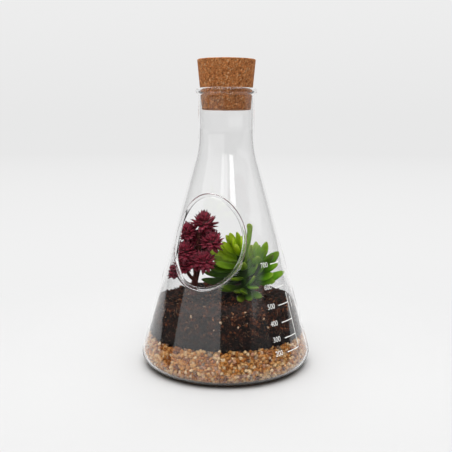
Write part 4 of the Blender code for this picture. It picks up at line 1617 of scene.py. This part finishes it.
def makeGreen():
    draw = np.random.default_rng(51)
    shapes, tones, yellowsAndPaintedLight = [], [], []
    for stem, leaves in ((green["stem"], green["stemLeaves"]), (green["branch"], green["branchLeaves"])):
        for height, tip, width, roll in leaves:
            root, end = atHeight(stem, height), clearOfGlass(tip, plants["leafToGlass"])
            shapes.append(spoonLeaf(root, end, width, radians(roll), green["full"], draw))
            size = len(shapes[-1][0])
            # painted shade and light: leaves low and to the left are darkened, high and right ones brightened, and
            # those right of the middle below 88 mm brightened more; then a random tone
            shade = 0.12 + 0.95 * smoothStep(end[2] + 0.55 * end[0], 46, 90)
            shade *= 1 + 0.7 * smoothStep(end[0], 4, 20) * (1 - smoothStep(end[2], 74, 88))
            tones.append(np.full(size, shade * draw.uniform(0.78, 1.18)))
            # yellower and brighter towards the top and the front middle: partly the leaves' own lime green, partly
            # painted light
            front = smoothStep(-end[1], 8, 18) * smoothStep(end[0], -12, 2) * (1 - smoothStep(end[0], 9, 17))
            top = smoothStep(end[2] - 0.35 * end[0], 76, 94)
            yellowsAndPaintedLight.append(np.full(size, max(float(top), 0.75 * float(front))))
    height, tip, width, roll = green["tallLeaf"]
    root = atHeight(green["stem"], height)
    shapes.append(spoonLeaf(root, np.array(tip, float), width, radians(roll), green["tallFull"], draw))
    tones.append(np.full(len(shapes[-1][0]), green["tallTone"]))
    yellowsAndPaintedLight.append(np.full(len(shapes[-1][0]), green["tallYellow"]))
    for path, radii, steps in ((green["stem"], green["stemRadii"], 30), (green["branch"], green["branchRadii"], 16)):
        points, faces = stemShape(path, radii, draw, steps)
        shapes.append((points, faces, np.full(len(points), 0.1), np.zeros(len(points))))
        tones.append(np.full(len(points), 0.8))
        yellowsAndPaintedLight.append(np.zeros(len(points)))
    points, faces = joinShapes(shapes)
    values = {
        "leafAlong": np.concatenate([shape[2] for shape in shapes]),
        "leafTone": np.concatenate(tones),
        "leafYellow": np.concatenate(yellowsAndPaintedLight),
    }
    piece = buildPiece("green_leaves", fromPlantFrame(points), faces, greenMaterial(), values)
    facingOut(piece)
    place(piece, "green_leaf", "green_succulent")


def setLook():
    # a plain picture: colours as they are, light followed through every wall of the glass
    scene = bpy.context.scene
    scene.view_settings.view_transform = "Standard"
    scene.view_settings.look = "None"
    cycles = scene.cycles
    cycles.max_bounces = 32
    cycles.transmission_bounces = 24
    cycles.glossy_bounces = 24
    cycles.diffuse_bounces = 6
    cycles.transparent_max_bounces = 32
    cycles.caustics_reflective = True
    cycles.caustics_refractive = True
    cycles.sample_clamp_indirect = 6.0
    cycles.use_denoising = True


makeCamera()
makeStudioLight()
makeFloor()
makeFlask()
makeScale()
makeCork()
makeGravel()
makeSoil()
makeBurgundy()
makeGreen()
setLook()

bpy.context.view_layer.update()
